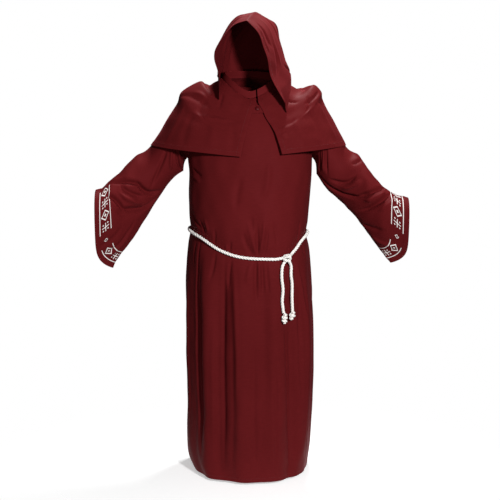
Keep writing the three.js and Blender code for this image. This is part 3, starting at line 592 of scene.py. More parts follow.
def unevenness(across, along, size, depth, seed):
    """A slow random waver, as plain cloth has between its folds."""
    draw = np.random.default_rng(seed)
    height = np.zeros(np.broadcast(across, along).shape)
    for _ in range(UNEVEN_WAVES):
        angle = draw.uniform(0, math.pi)
        wave = 2 * math.pi / (size * draw.uniform(0.7, 1.9))
        phase = draw.uniform(0, 2 * math.pi)
        height += np.sin(wave * (across * math.cos(angle) + along * math.sin(angle)) + phase)
    return height * depth / 2.6


def fold_depth(angle, z):
    degrees = np.degrees(angle)
    height = np.zeros(np.broadcast(angle, z).shape)
    for top, bottom, start, end, width, depth in zip(*ROBE_FOLDS.values()):
        centre = mix(top, bottom, np.clip((start - z) / (start - end), 0, 1))
        away = (degrees - centre + 540) % 360 - 180
        shown = smooth(0, FOLD_FADE, start - z + FOLD_FADE / 4) * smooth(0, FOLD_FADE, z - end)
        height += depth * shown * np.exp(-(away / width) ** 2)
    return height


def belt_z(angle):
    """The rope's height at an angle round the body."""
    side, fore = np.sin(angle), np.cos(angle)
    reach = np.where(side < 0, BELT_LEFT, BELT_RIGHT) * power(side, SQUARENESS)
    front = sample(BELT_FRONT, "x", "z", reach)
    return np.where(fore >= 0, front, mix(front, BELT_BACK_Z, fore ** 2))


def robe_surface(angle, z):
    """Points on the outside of the robe below the armpit."""
    angle, z = np.broadcast_arrays(np.asarray(angle, float), np.asarray(z, float))
    side, fore = np.sin(angle), np.cos(angle)
    width = by_side(ROBE_SECTIONS, "z", z, side < 0, "left", "right")
    depth = by_side(ROBE_SECTIONS, "z", z, fore > 0, "front", "back")
    out = fold_depth(angle, z) - BELT_PINCH * np.exp(-((z - belt_z(angle)) / BELT_PINCH_HEIGHT) ** 2)
    x = width * power(side, SQUARENESS) + out * side
    y = -depth * power(fore, SQUARENESS) - out * fore
    return np.stack([x, y, z], axis=-1)


def hem_z(angle):
    degrees = np.degrees(np.abs(angle))
    risen = np.where(angle < 0, HEM_STEP_LEFT, HEM_STEP_RIGHT)
    return mix(HEM_FRONT_Z, HEM_BACK_Z, smooth(HEM_STEP_FROM, risen, degrees))


def along_curve(points, shares):
    """Points at shares of the length of a centripetal curve through the given ones."""
    given = np.asarray(points, float)
    ends = np.vstack([2 * given[0] - given[1], given, 2 * given[-1] - given[-2]])
    dense = [given[:1]]
    for p0, p1, p2, p3 in zip(ends[:-3], ends[1:-2], ends[2:-1], ends[3:]):
        d0, d1, d2 = (math.sqrt(np.linalg.norm(b - a)) for a, b in ((p0, p1), (p1, p2), (p2, p3)))
        out = ((p1 - p0) / d0 - (p2 - p0) / (d0 + d1) + (p2 - p1) / d1) * d1
        into = ((p2 - p1) / d1 - (p3 - p1) / (d1 + d2) + (p3 - p2) / d2) * d1
        t = (np.arange(1, 41) / 40)[:, None]
        rise = p2 - p1
        dense.append(p1 + t * (out + t * (3 * rise - 2 * out - into + t * (out + into - 2 * rise))))
    dense = np.vstack(dense)
    length = np.r_[0, np.cumsum(np.linalg.norm(np.diff(dense, axis=0), axis=1))]
    wanted = np.asarray(shares) * length[-1]
    return np.stack([np.interp(wanted, length, column) for column in dense.T], axis=-1)


def half_columns(neck_centre, armhole):
    """Degrees and top points of one half of the front or back, from the centre to the side seam."""
    t = np.linspace(0, 1, 29)
    turn = t * math.pi / 2
    neck = np.stack([NECK_POINT[0] * np.sin(turn),
                     mix(NECK_POINT[1], neck_centre[1], np.cos(turn)),
                     mix(NECK_POINT[2], neck_centre[2], np.cos(turn))], axis=-1)
    shoulder = np.linspace(0, 1, 19)[1:-1, None]
    side = np.r_[np.linspace(0, 1, 38), 0.975, 0.991]
    side.sort()
    degrees = np.r_[NECK_POINT_ANGLE * t, mix(NECK_POINT_ANGLE, SHOULDER_TIP_ANGLE, shoulder[:, 0]),
                    mix(SHOULDER_TIP_ANGLE, 90, side)]
    tops = np.vstack([neck, mix(NECK_POINT, SHOULDER_TIP, shoulder), along_curve(armhole, 1 - side)])
    return degrees, tops


def panel_columns(back):
    """Angles and top points of the whole front or back, left to right as seen from outside."""
    degrees, tops = half_columns(NECK_BACK, ARMHOLE_BACK) if back else half_columns(NECK_FRONT, ARMHOLE_FRONT)
    degrees = np.r_[-degrees[:0:-1], degrees]
    tops = np.vstack([tops[:0:-1] * (-1, 1, 1), tops])
    if back:
        degrees, tops = degrees[::-1], tops[::-1]
        degrees = np.where(degrees >= 0, 180 - degrees, -180 - degrees)
    return np.radians(degrees), tops


def bodice(angle, tops, t):
    """Points above the belt: t runs from 0 at the rope to 1 at the piece's top edge."""
    belt = belt_z(angle)
    chest = robe_surface(angle, ARMPIT_Z)
    straight = ARMPIT_Z - belt
    roll = np.linalg.norm(chest - tops, axis=1)
    travelled = t[:, None] * (straight + roll)
    below = robe_surface(angle, np.minimum(belt + travelled, ARMPIT_Z))
    s = np.clip((travelled - straight) / roll, 0, 1)[..., None]
    bend = np.stack([mix(chest[:, 0], tops[:, 0], 0.5),
                     mix(chest[:, 1] * CHEST_FULLNESS, tops[:, 1], CHEST_LEAN),
                     mix(chest[:, 2], tops[:, 2], CHEST_ROLL)], axis=-1)
    above = (1 - s) ** 2 * chest + 2 * s * (1 - s) * bend + s ** 2 * tops
    return np.where((travelled <= straight)[..., None], below, above)


def robe_panel(back):
    """The grid of a whole front or back with its creases, from the hem up."""
    angle, tops = panel_columns(back)
    skirt = np.r_[0, 0.0016, 0.0045, np.linspace(0.009, 1, 88)[:-1]][:, None]
    lower = robe_surface(angle, mix(hem_z(angle), belt_z(angle), skirt))
    upper = bodice(angle, tops, np.r_[np.linspace(0, 0.988, 90), 0.995, 1])
    grid = np.vstack([lower, upper])
    degrees = np.degrees(angle)
    z = grid[..., 2]
    if back:
        degrees = degrees % 360
    height = creases(ROBE_CREASES, degrees, z, (ARC, 1))
    height += unevenness(degrees * ARC, z * 0.35, size=60, depth=0.9, seed=5 + back)
    near_belt = 1 - BELT_HOLD * np.exp(-((z - belt_z(angle)) / BELT_HOLD_HEIGHT) ** 2)
    share = np.arange(len(grid)) / (len(grid) - 1)
    to_seam = (90 - np.abs(degrees - 180 * back)) * ARC
    height *= near_belt * smooth(1.0, 0.9, share)[:, None] * smooth(0, PANEL_SEAM_EASE, to_seam)
    grid[..., 0] += height * np.sin(angle)
    grid[..., 1] -= height * np.cos(angle)
    return grid


def surface_normals(points, closed):
    padded = np.concatenate([points[:, -1:], points, points[:, :1]], axis=1) if closed else points
    across = np.gradient(padded, axis=1)
    along = np.gradient(padded, axis=0)
    normal = np.cross(across, along)
    normal /= np.maximum(np.linalg.norm(normal, axis=-1, keepdims=True), 1e-9)
    return normal[:, 1:-1] if closed else normal


def measured(points, closed):
    """Distances across the rows and up the columns of a grid."""
    ring = np.concatenate([points, points[:, :1]], axis=1) if closed else points
    across = np.linalg.norm(np.diff(ring, axis=1), axis=-1)
    along = np.linalg.norm(np.diff(ring, axis=0), axis=-1)
    across = np.concatenate([np.zeros((len(ring), 1)), np.cumsum(across, axis=1)], axis=1)
    along = np.concatenate([np.zeros((1, ring.shape[1])), np.cumsum(along, axis=0)], axis=0)
    return across, along


def to_sides(across, along, sides):
    """Each point's distance to the nearest of the named sides of its grid."""
    away = {"left": across, "right": across[:, -1:] - across, "bottom": along, "top": along[-1:] - along}
    return np.minimum.reduce([np.full(across.shape, 1e3), *(away[side] for side in sides)])


def cloth(name, points, outward=1, closed=False, hems=(), seams=(), finish=None, chart_from="bottom"):
    """A cloth wall whose outer face is a grid of points, with round edges, turned hems that stand a little
    proud, and sewn edges that are drawn in. Its UV map is in metres, from the bottom row or the top one."""
    across, along = measured(points, closed)
    rows, columns = points.shape[:2]
    hem = to_sides(across, along, hems)
    seam = to_sides(across, along, seams)
    relief = HEM_RELIEF * smooth(HEM_WIDTH + 2, HEM_WIDTH - 2, hem)
    relief -= SEAM_DEPTH * np.exp(-(seam / SEAM_WIDTH) ** 2)
    normal = surface_normals(points, closed) * outward
    outer = points + normal * relief[:, :columns, None]
    inner = outer - normal * CLOTH_THICKNESS
    j, i = np.meshgrid(np.arange(rows - 1), np.arange(columns - (not closed)), indexing="ij")
    wide = across.shape[1]
    corners = [(j, i), (j, i + 1), (j + 1, i + 1), (j + 1, i)][::outward]
    quads = np.stack([a * columns + b % columns for a, b in corners], axis=-1).reshape(-1, 4)
    places = np.stack([a * wide + b for a, b in corners], axis=-1).reshape(-1, 4)
    row, column = np.arange(rows), np.arange(wide)
    bottom = np.stack([0 * column, column, 0 * column + 1, column], axis=-1)
    top = np.stack([0 * column + rows - 1, column, 0 * column + rows - 2, column], axis=-1)[::-1]
    if closed:
        loops = [bottom, top]
    else:
        right = np.stack([row, 0 * row + columns - 1, row, 0 * row + columns - 2], axis=-1)
        left = np.stack([row, 0 * row, row, 0 * row + 1], axis=-1)[::-1]
        loops = [np.vstack([bottom[:-1], right[:-1], top[:-1], left])]
    count = rows * columns
    faces, face_places = [quads, quads[:, ::-1] + count], [places, places[:, ::-1]]
    middles = []
    for loop in loops:
        loop = loop[::outward]
        edge = loop[:, 0] * columns + loop[:, 1] % columns
        inside = loop[:, 2] * columns + loop[:, 3] % columns
        place = loop[:, 0] * wide + loop[:, 1]
        face, lining = outer.reshape(-1, 3), inner.reshape(-1, 3)
        away = face[edge] - face[inside]
        away /= np.linalg.norm(away, axis=1, keepdims=True)
        middle = (face[edge] + lining[edge]) / 2 + away * CLOTH_THICKNESS * EDGE_ROUND
        ring = 2 * count + sum(map(len, middles)) + np.arange(len(loop) - 1)
        after = np.roll(ring, -1)
        middles.append(middle[:-1])
        p, q = edge[:-1], edge[1:]
        faces += [np.stack([q, p, ring, after], axis=-1),
                  np.stack([after, ring, p + count, q + count], axis=-1)]
        uv = np.stack([place[1:], place[:-1], place[:-1], place[1:]], axis=-1)
        face_places += [uv, uv]
    corners = np.vstack(faces)
    vertices = np.vstack([outer.reshape(-1, 3), inner.reshape(-1, 3), *middles]) * MM
    made = bpy.data.meshes.new(name)
    made.from_pydata(vertices.tolist(), [], corners.tolist())
    uv_map = made.uv_layers.new(name="UVMap")
    height = along if chart_from == "bottom" else along[-1:] - along
    flat = np.stack([across, height], axis=-1).reshape(-1, 2) * MM
    uv_map.data.foreach_set("uv", flat[np.vstack(face_places)].ravel())
    made.shade_smooth()
    made.materials.append(finish or CLOTH_FINISH)
    return in_scene(name, made)


def cloth_finish(name, bands=None):
    """Crepe: a fine pebbled weave with a low, soft sheen and slight shading where it was pressed and worn."""
    finish = Finish(name)
    place = finish.node("TexCoord", out=3)
    chart = finish.node("UVMap", {"uv_map": "UVMap"})
    cloud = finish.noise(place, scale=3.6, detail=3.0, roughness=0.55)
    mottle = finish.noise(chart, scale=85.0, detail=3.0, roughness=0.6)
    pebble = finish.noise(finish.stretched(chart, (1.0, 0.7, 1.0)), scale=950.0, roughness=0.6)
    thread = finish.node("TexWave", {"wave_type": "BANDS", "bands_direction": "DIAGONAL"},
                         {"Vector": chart, "Scale": 420.0, "Distortion": 2.0, "Detail": 1.0}, out=1)
    slub = finish.noise(finish.stretched(chart, (38.0, 260.0, 1.0)), scale=1.0, detail=3.0, roughness=0.65)
    shade = finish.mixed(cloud * 1.3 + slub * 1.6 - 0.95, CLOTH_DEEP, CLOTH_LIT)
    colour = finish.mixed(0.35 + mottle * 0.4, shade, CLOTH_COLOUR)
    rough = 0.46 + mottle * 0.2
    height = pebble * 0.8 + thread * 0.2
    if bands:
        ink = bands(finish, chart)
        wear_and_groove_shade = finish.noise(chart, scale=420.0, detail=3.0, roughness=0.7) > 0.36
        print_mask = ink * (0.86 + wear_and_groove_shade * 0.1)
        colour = finish.mixed(print_mask, colour, PRINT_COLOUR)
        height = height + print_mask * 0.5
    relief = finish.bump(height, distance=0.35 * MM, strength=0.5)
    return finish.set(Base_Color=colour, Roughness=rough, Normal=relief, Specular_IOR_Level=0.05,
                      Specular_Tint=(1.0, 0.22, 0.27), Sheen_Weight=0.12, Sheen_Roughness=0.3,
                      Sheen_Tint=(1.0, 0.13, 0.17))


CLOTH_FINISH = cloth_finish("maroon_crepe")
robe_grids = {"front": robe_panel(False), "back": robe_panel(True)}
robe = {}
for place, grid in robe_grids.items():
    panel = cloth(f"robe_{place}_panel", grid, hems=("bottom",), seams=("left", "right", "top"))
    robe[place] = dress(panel, "maroon_cloth", f"robe_{place}")


# The sleeves
# Two wide bell sleeves, sewn into the armholes and turned up at the cuffs. They are bent in the middle, so
# the cloth breaks into short curved creases there, and it hangs open below at the cuffs.
SLEEVE_COLUMNS = "at top_x top_z bottom_x bottom_z y half hang"
SLEEVE_SECTIONS = {
    -1: table(
        SLEEVE_COLUMNS,
        (1, 290, -62, 262, -290, -2, 86, 0),
        (2, 340, -138, 301, -318, -5, 84, 0),
        (3, 399, -205, 345, -374, -9, 84, 0.05),
        (4, 442, -229, 392, -446, -28, 84, 0.12),
        (5, 474, -259, 425, -500, -50, 83, 0.18),
        (6, 505, -294, 457, -552, -72, 82, 0.22),
        (7, 537, -320, 487, -588, -95, 83, 0.26),
        (8, 564, -346, 512, -622, -115, 84, 0.3),
        (9, 587, -353, 528, -654, -130, 86, 0.32),
    ),
    1: table(
        SLEEVE_COLUMNS,
        (1, 286, -62, 262, -302, -2, 86, 0),
        (2, 332, -137, 300, -360, -5, 84, 0),
        (3, 385, -206, 345, -399, -9, 84, 0.05),
        (4, 419, -224, 384, -436, -28, 84, 0.12),
        (5, 450, -266, 418, -472, -50, 83, 0.18),
        (6, 484, -312, 449, -515, -72, 82, 0.22),
        (7, 520, -350, 483, -562, -95, 83, 0.26),
        (8, 562, -374, 514, -602, -115, 84, 0.3),
        (9, 602, -383, 541, -634, -130, 86, 0.32),
    ),
}
CUFF_FLARE = 62
CUFF_FLARE_FROM = 7
CUFF_FLARE_SPREAD = 1.2
CUFF_FLARE_TIP = 10
HANG_TOP = 0.4
CREASE_BEND = 0.6
ARMHOLE_EASE = 1.6
LAST_SECTION = 9
SLEEVE_FOLDS = table(
    "at turn along round slope depth",
    (2.6, 110, 0.5, 60, -0.2, -2),
    (3.3, 100, 0.5, 55, 0.4, 2.5),
    (5.3, 110, 0.5, 50, -0.9, 3),
    (7.4, 60, 0.6, 40, -1.2, 3),
    (3.0, 255, 0.5, 60, 0.3, -2.5),
    (4.9, 250, 0.5, 50, 0.8, 3),
)
SLEEVE_SCALE = (1.9, 50)
# The printed band, in metres along the cuff's edge and up from it
BAND = {"from": 0.024, "to": 0.073, "stroke": 0.0016, "shift": 0.083, "period": 0.228, "cell": 0.042,
        "in_group": 4, "cross_arm": 0.015, "dots_at": 0.0105, "dot": 0.0034, "lozenge": 0.0165,
        "centre": 0.0055, "gap_lozenge": 0.007}
# Across is the turn in degrees from the lowest line over the front, and z is the place along the sleeve
SLEEVE_CREASES = {
    -1: table(
        CREASE_COLUMNS,
        (86, 1.2, 12, 1.05, 4, 7, -6),
        (104, 1.9, 66, 3.4, -6, 12, -5),
        (96, 1.4, 50, 1.9, 5, 8, 4),
        (166, 7.2, 92, 4.0, -4, 7, -10),
        (104, 4.3, 30, 3.05, 3, 7, -10),
        (128, 5.9, 68, 4.05, 3, 6, -6),
        (118, 6.1, 60, 4.3, 2, 7, 6),
        (133, 7.35, 88, 6.0, -7, 8, -9),
        (94, 6.2, 14, 3.2, -3, 8, -12),
        (96, 6.8, 40, 4.3, -4, 12, -5),
        (40, 8.5, 49, 5.4, 5, 8, -4),
        (30, 8.5, 34, 6.2, -4, 9, 3),
        (60, 8.6, 66, 6.6, 3, 9, -3),
        (206, 6.2, 318, 3.4, -10, 7, -9),
        (224, 7.2, 330, 3.8, 12, 8, -9),
        (216, 6.6, 300, 4.3, 2, 7, 5),
        (262, 1.3, 326, 1.7, 4, 8, -5),
        (300, 8.6, 318, 5.8, 5, 8, -4),
        (250, 8.4, 280, 6.4, -5, 9, 4),
    ),
    1: table(
        CREASE_COLUMNS,
        (78, 0.7, 36, 1.1, 3, 7, -7),
        (104, 1.4, 56, 1.75, -3, 7, -5),
        (96, 1.05, 50, 1.4, 3, 6, 5),
        (104, 4.0, 52, 2.05, 6, 7, -7),
        (108, 4.6, 58, 2.9, 5, 8, 5),
        (74, 4.7, 24, 1.2, 9, 8, -10),
        (166, 6.85, 66, 4.3, 9, 7, -10),
        (150, 6.9, 80, 5.2, 8, 8, 6),
        (162, 7.45, 50, 5.0, 7, 7, -9),
        (152, 7.8, 96, 6.6, 5, 8, 4),
        (70, 7.3, 16, 5.5, -5, 9, -4),
        (56, 8.4, 26, 6.6, 4, 9, 3),
        (160, 4.4, 124, 3.4, 6, 8, -4),
        (212, 6.6, 326, 2.6, -12, 7, -9),
        (218, 7.1, 312, 4.4, -8, 7, 5),
        (228, 7.3, 310, 5.2, 6, 7, -7),
        (262, 1.2, 322, 1.6, 4, 8, -5),
        (296, 8.5, 330, 6.0, -5, 8, -4),
    ),
}


def sleeve_crease(at, turn):
    height = np.zeros(np.broadcast(at, turn).shape)
    for place, middle, along, spread, slope, depth in zip(*SLEEVE_FOLDS.values()):
        round_it = (turn - middle) / spread
        away = (at - place - slope * round_it * CREASE_BEND) / along
        height += depth * np.exp(-away ** 2 - round_it ** 2)
    return height


def sleeve_section(side, at, turn):
    """Points of a sleeve's sections, turn in degrees: 0 below, 90 in front, 180 on top."""
    top_x, top_z, bottom_x, bottom_z, y, half, hang = (
        sample(SLEEVE_SECTIONS[side], "at", column, at) for column in SLEEVE_COLUMNS.split()[1:])
    low = (1 + np.cos(np.radians(turn))) / 2
    swing = low ** CUFF_FLARE_SPREAD * (1 - low ** CUFF_FLARE_TIP)
    flare = CUFF_FLARE * smooth(CUFF_FLARE_FROM, LAST_SECTION, at) * swing
    full = half * (1 - hang * (2 * low - HANG_TOP)) + sleeve_crease(at, turn)
    return np.stack([side * (mix(top_x, bottom_x, low) + flare), y - full * np.sin(np.radians(turn)),
                     mix(top_z, bottom_z, low)], axis=-1)


def sleeve_grid(side):
    """The rings of a sleeve, from the armhole to the cuff."""
    share = np.linspace(0, 1, 71)
    armhole = np.vstack([along_curve(ARMHOLE_FRONT, share), along_curve(ARMHOLE_BACK, share[-2:0:-1])])
    armhole = armhole * (side, 1, 1)
    turn = np.r_[180 * share, 360 - 180 * share[-2:0:-1]]
    at = np.r_[0, 0.02, 0.06, np.linspace(0.1, LAST_SECTION - 0.1, 178),
               LAST_SECTION - 0.04, LAST_SECTION][:, None]
    first = sleeve_section(side, 1.0, turn)
    early = np.clip(at, 0, 1)
    outward, across = 1 - (1 - early) ** 2, early ** ARMHOLE_EASE
    start = np.stack([mix(armhole[:, 0], first[:, 0], outward), mix(armhole[:, 1], first[:, 1], across),
                      mix(armhole[:, 2], first[:, 2], across)], axis=-1)
    grid = np.where((at >= 1)[..., None], sleeve_section(side, np.maximum(at, 1), turn), start)
    height = creases(SLEEVE_CREASES[side], turn, at, SLEEVE_SCALE)
    round_it = np.radians(turn)
    height += unevenness(100 * np.sin(round_it), at * 50 + 80 * np.cos(round_it), size=50, depth=0.8,
                         seed=12 + side)
    height *= smooth(0, 0.5, at) * smooth(LAST_SECTION, LAST_SECTION - 0.3, at)
    return grid - side * surface_normals(grid, True) * height[..., None]


def printed_band(finish, chart):
    """Two thin lines round the cuff with plain figures between them: crosses, lozenges and dots. They come
    in groups of four, with one small lozenge in each gap. The chart's second number is the distance from
    the cuff's edge."""
    round_it = finish.node("SeparateXYZ", {}, {"Vector": chart}, out=0) + BAND["shift"]
    from_edge = finish.node("SeparateXYZ", {}, {"Vector": chart}, out=1)
    place = round_it % BAND["period"]
    cell = place // BAND["cell"]
    aside = abs(place % BAND["cell"] - BAND["cell"] / 2)
    above = abs(from_edge - (BAND["from"] + BAND["to"]) / 2)
    stroke = BAND["stroke"]
    arm, dots = BAND["cross_arm"], BAND["dots_at"]
    cross = ((aside < stroke) * (above < arm)) | ((above < stroke) * (aside < arm))
    corner = abs(aside - dots) + abs(above - dots) < BAND["dot"]
    lozenge = abs(aside + above - BAND["lozenge"]) < stroke * 1.5
    centre = aside + above < BAND["centre"]
    odd = cell % 2 > 0.5
    figures = (odd * (lozenge | centre)) | ((1 - odd) * (cross | corner))
    group = BAND["cell"] * BAND["in_group"]
    line = (abs(from_edge - BAND["from"]) < stroke) | (abs(from_edge - BAND["to"]) < stroke)
    gap_figure = abs(abs(place - (BAND["period"] + group) / 2) + above - BAND["gap_lozenge"]) < stroke
    inside = above < (BAND["to"] - BAND["from"]) / 2 + stroke
    return inside * (((place < group) * (figures | line)) | gap_figure)


SLEEVE_FINISH = cloth_finish("printed_crepe", printed_band)
sleeve_grids = {"left": sleeve_grid(-1), "right": sleeve_grid(1)}
sleeves = {}
for place, outward in (("left", 1), ("right", -1)):
    sleeve = cloth(f"bell_sleeve_{place}", sleeve_grids[place], outward=outward, closed=True, hems=("top",),
                   seams=("bottom",), chart_from="top", finish=SLEEVE_FINISH)
    sleeves[place] = dress(sleeve, "maroon_cloth", f"sleeve_{place}")


# The shoulder cape
# A short round cape lies over the shoulders, open in front. Its back is cut apart from the two fronts, and
# the neckline is sewn to a standing band.
CAPE_SECTIONS = table(
    "at left left_z right right_z front front_z back back_z edge_left edge_right lift",
    (0, 108, 68, 118, 58, 100, -8, 92, 72, 23, 29, 1.6),
    (1, 138, 53, 160, 41, 122, -28, 112, 58, 20, 32, 2),
    (2, 166, 39, 202, 20, 139, -53, 126, 38, 9, 47, 2.6),
    (3, 194, 56, 246, 44, 153, -82, 138, 10, 0, 60, 3.6),
    (4, 264, 18, 277, 17, 168, -112, 147, -25, -9, 79, 3.2),
    (5, 284, -30, 282, -14, 181, -140, 154, -65, -16, 92, 2.4),
    (6, 316, -78, 316, -78, 191, -166, 161, -105, -23, 101, 1.8),
    (7, 352, -138, 350, -140, 200, -197, 168, -150, -30, 111, 1.3),
    (8, 388, -189.4, 375, -189.3, 206, -227, 174, -196, -34, 120, 1),
)
CAPE_HEM = 8
CAPE_FRONT = 44
CAPE_BACK = 96
CAPE_SCALE = (4.2, 42)
CREASE_EASE = 0.7                # the cape's and hood's creases are softer than the robe's
# Across is the angle from the centre front in degrees, + to the right, and z is the place from the
# neckline, 0, to the hem, 8
CAPE_CREASES = table(
    CREASE_COLUMNS,
    (-80, 4.3, -46, 3.2, 8, 9, -4),
    (-70, 3.5, -58, 3.1, 3, 6, 3.5),
    (-58, 3.0, -40, 4.2, -6, 8, -3.5),
    (-50, 4.4, -18, 3.4, 8, 11, 3),
    (-46, 1.2, -40, 2.8, 3, 7, -4.5),
    (-66, 4.6, -60, 7.7, 5, 12, 3),
    (-52, 4.6, -42, 7.7, -5, 13, -3),
    (-32, 4.4, -24, 7.6, 5, 12, 2.4),
    (-14, 4.2, -11, 7.4, 3, 10, -2.4),
    (78, 3.7, 54, 3.3, 6, 8, -4),
    (62, 3.0, 50, 4.2, 5, 8, -3.5),
    (46, 1.4, 52, 2.7, -3, 7, -4.5),
    (70, 4.4, 66, 7.6, -4, 12, 3),
    (56, 4.4, 48, 7.7, 5, 12, -3),
    (40, 4.0, 34, 7.6, -5, 12, 2.6),
    (28, 3.0, 25, 7.2, 3, 9, -2),
    (100, 3.2, 104, 7.6, 5, 12, -4),
    (122, 2.4, 126, 7.6, -5, 12, 4),
    (144, 2.2, 148, 7.7, 5, 13, -4),
    (162, 3.4, 161, 7.7, 4, 12, 3),
    (-102, 3.2, -106, 7.6, -5, 12, -4),
    (-124, 2.4, -128, 7.6, 5, 12, 4),
    (-146, 2.2, -148, 7.7, -5, 13, -4),
    (-164, 3.6, -162, 7.7, 4, 12, 3),
)
BAND_HEIGHT = 26
BAND_LEAN = 7
NECK_MIDDLE = (5, -4)


def cape_reach(x, y, at):
    """The cape's half width and its depth, on the sides where x and y lie."""
    return (by_side(CAPE_SECTIONS, "at", at, x < 0, "left", "right"),
            by_side(CAPE_SECTIONS, "at", at, y < 0, "front", "back"))


def cape_surface(angle, at):
    """Points of the cape's sections: at is the place from the neckline to the hem."""
    angle, at = np.broadcast_arrays(np.asarray(angle, float), np.asarray(at, float))
    side, fore = np.sin(angle), np.cos(angle)
    half, deep = cape_reach(side, -fore, at)
    ridge = by_side(CAPE_SECTIONS, "at", at, fore > 0, "front_z", "back_z")
    shoulder = by_side(CAPE_SECTIONS, "at", at, side < 0, "left_z", "right_z")
    lifted = np.abs(side) ** sample(CAPE_SECTIONS, "at", "lift", at)
    return np.stack([half * side, -deep * fore, mix(ridge, shoulder, lifted)], axis=-1)


def angle_across(x, at):
    """Angles of places in front that lie x right of the centre."""
    return np.arcsin(x / by_side(CAPE_SECTIONS, "at", at, x < 0, "left", "right"))


def cape_angles(at):
    """Angles of whole sections, from the left front edge round the back to the right one."""
    front = np.r_[0, 0.006, 0.018, np.linspace(0.03, 1, CAPE_FRONT - 2)]
    back = np.linspace(0, 1, CAPE_BACK + 1)[1:-1]
    quarter = math.pi / 2
    left, right = (angle_across(sample(CAPE_SECTIONS, "at", edge, at), at)
                   for edge in ("edge_left", "edge_right"))
    return np.concatenate([mix(left, -quarter, front), mix(-quarter, -3 * quarter, back) + 0 * at,
                           mix(-3 * quarter, right - 4 * quarter, 1 - front[::-1])], axis=1)


def cape_grid():
    at = np.r_[0, 0.03, 0.09, np.linspace(0.15, CAPE_HEM - 0.1, 100), CAPE_HEM - 0.04, CAPE_HEM][:, None]
    angle = cape_angles(at)
    grid = cape_surface(angle, at)
    degrees = np.degrees(angle)
    front = np.where(degrees < -180, degrees + 360, degrees)
    height = CREASE_EASE * creases(CAPE_CREASES, front, at, CAPE_SCALE)
    height += unevenness(degrees * 3, at * CAPE_SCALE[1], size=55, depth=0.7, seed=21)
    height *= smooth(0, 0.6, at)
    return grid + surface_normals(grid, False) * height[..., None]


CAPE_HEMS = {"left": ("top", "left"), "back": ("top",), "right": ("top", "right")}
CAPE_SEAMS = {"left": ("right", "bottom"), "back": ("left", "right", "bottom"), "right": ("left", "bottom")}
CAPE_NODES = {"left": "cape_front_left", "back": "cape_back", "right": "cape_front_right"}
cape_whole = cape_grid()
cape_grids = {"left": cape_whole[:, :CAPE_FRONT + 1],
              "back": cape_whole[:, CAPE_FRONT:CAPE_FRONT + CAPE_BACK + 1],
              "right": cape_whole[:, CAPE_FRONT + CAPE_BACK:]}
for place, grid in cape_grids.items():
    panel = cloth(f"cape_{place}", grid, hems=CAPE_HEMS[place], seams=CAPE_SEAMS[place])
    dress(panel, "maroon_cloth", CAPE_NODES[place])

# The standing band leans in a little
neck_at = np.zeros((1, 1))
neck_line = cape_surface(cape_angles(neck_at), neck_at)[0]
band_rise = np.r_[0, 0.05, np.linspace(0.12, 0.88, 12), 0.95, 1]
inward = (*NECK_MIDDLE, 0) - neck_line * (1, 1, 0)
inward *= BAND_LEAN / np.linalg.norm(inward, axis=1, keepdims=True)
band_grid = neck_line + band_rise[:, None, None] * (inward + (0, 0, BAND_HEIGHT))
neckband = dress(cloth("neck_band", band_grid, outward=-1, seams=("bottom",)), "maroon_cloth", "neckband")


# The hood
# Two halves, sewn over the crown and down the back, stand up from the cape's neckline and are turned a
# little to one side. The face edge has a deep hem.
HOOD_LEVELS = {
    "left_front": [(-116, -122, -2), (-114, -121, 67), (-134, -122, 142),
                   (-119, -126, 192), (-64, -139, 257), (-12, -150, 277)],
    "left_side": [(-121, -8, 62), (-120, -4, 96), (-121, 4, 152),
                  (-104, 6, 218), (-50, -4, 296), (18, -14, 319)],
    "left_rear": [(-78, 86, 70), (-78, 106, 106), (-68, 122, 160),
                  (-54, 120, 218), (-8, 98, 276), (54, 60, 306)],
    "right_front": [(131, -162, -25), (80, -152, 66), (66, -150, 134),
                    (50, -150, 180), (31, -150, 231), (-12, -150, 277)],
    "right_side": [(160, -6, 50), (157, 4, 88), (135, 10, 140),
                   (116, 14, 200), (80, 20, 273), (18, -14, 319)],
    "right_rear": [(112, 82, 60), (122, 100, 100), (114, 114, 156),
                   (108, 110, 212), (98, 90, 275), (54, 60, 306)],
    "back": [(26, 106, 62), (34, 134, 106), (42, 150, 162),
             (52, 150, 218), (70, 132, 266), (66, 112, 291)],
}
HOOD_CROWN = 5                   # the level of the crown
HOOD_PLACES = (0, 0.42, 0.76, 1)
HOOD_STAND = -2                  # the lower edge is sunk this far into the cape
HOOD_FREE = 0.12                 # its front corner hangs free up to this place across
HOOD_SETTLE = 5 / 11             # the level by which the lower edge's fit to the cape has faded
HOOD_SCALE = (330, 58)
HOOD_OUTWARD = {"left": -1, "right": 1}
HOOD_SEEDS = {"left": 35, "right": 36}
# Across runs from the face edge, 0, to the seam behind, 1, and z is the level, up to 5 at the crown
HOOD_CREASES = {
    "left": table(
        CREASE_COLUMNS,
        (0.2, 4.5, 0.16, 2.6, 6, 9, -4),
        (0.34, 4.7, 0.4, 2.4, 8, 10, 4),
        (0.55, 4.6, 0.6, 1.6, 10, 11, -4),
        (0.78, 4.4, 0.74, 1.4, 8, 10, 3.5),
        (0.3, 1.7, 0.6, 0.7, -8, 9, -4),
        (0.16, 1.3, 0.4, 0.5, 5, 8, 3),
    ),
    "right": table(
        CREASE_COLUMNS,
        (0.15, 4.5, 0.17, 2.9, 5, 6, -6),
        (0.08, 4.4, 0.09, 2.6, 4, 8, 3),
        (0.3, 4.5, 0.24, 1.6, 8, 9, 4),
        (0.22, 3.0, 0.12, 1.0, -8, 8, -4),
        (0.46, 4.4, 0.5, 1.8, 8, 11, -4),
        (0.7, 4.5, 0.72, 1.4, 8, 11, 4),
        (0.3, 1.6, 0.56, 0.6, -6, 9, -4),
    ),
}


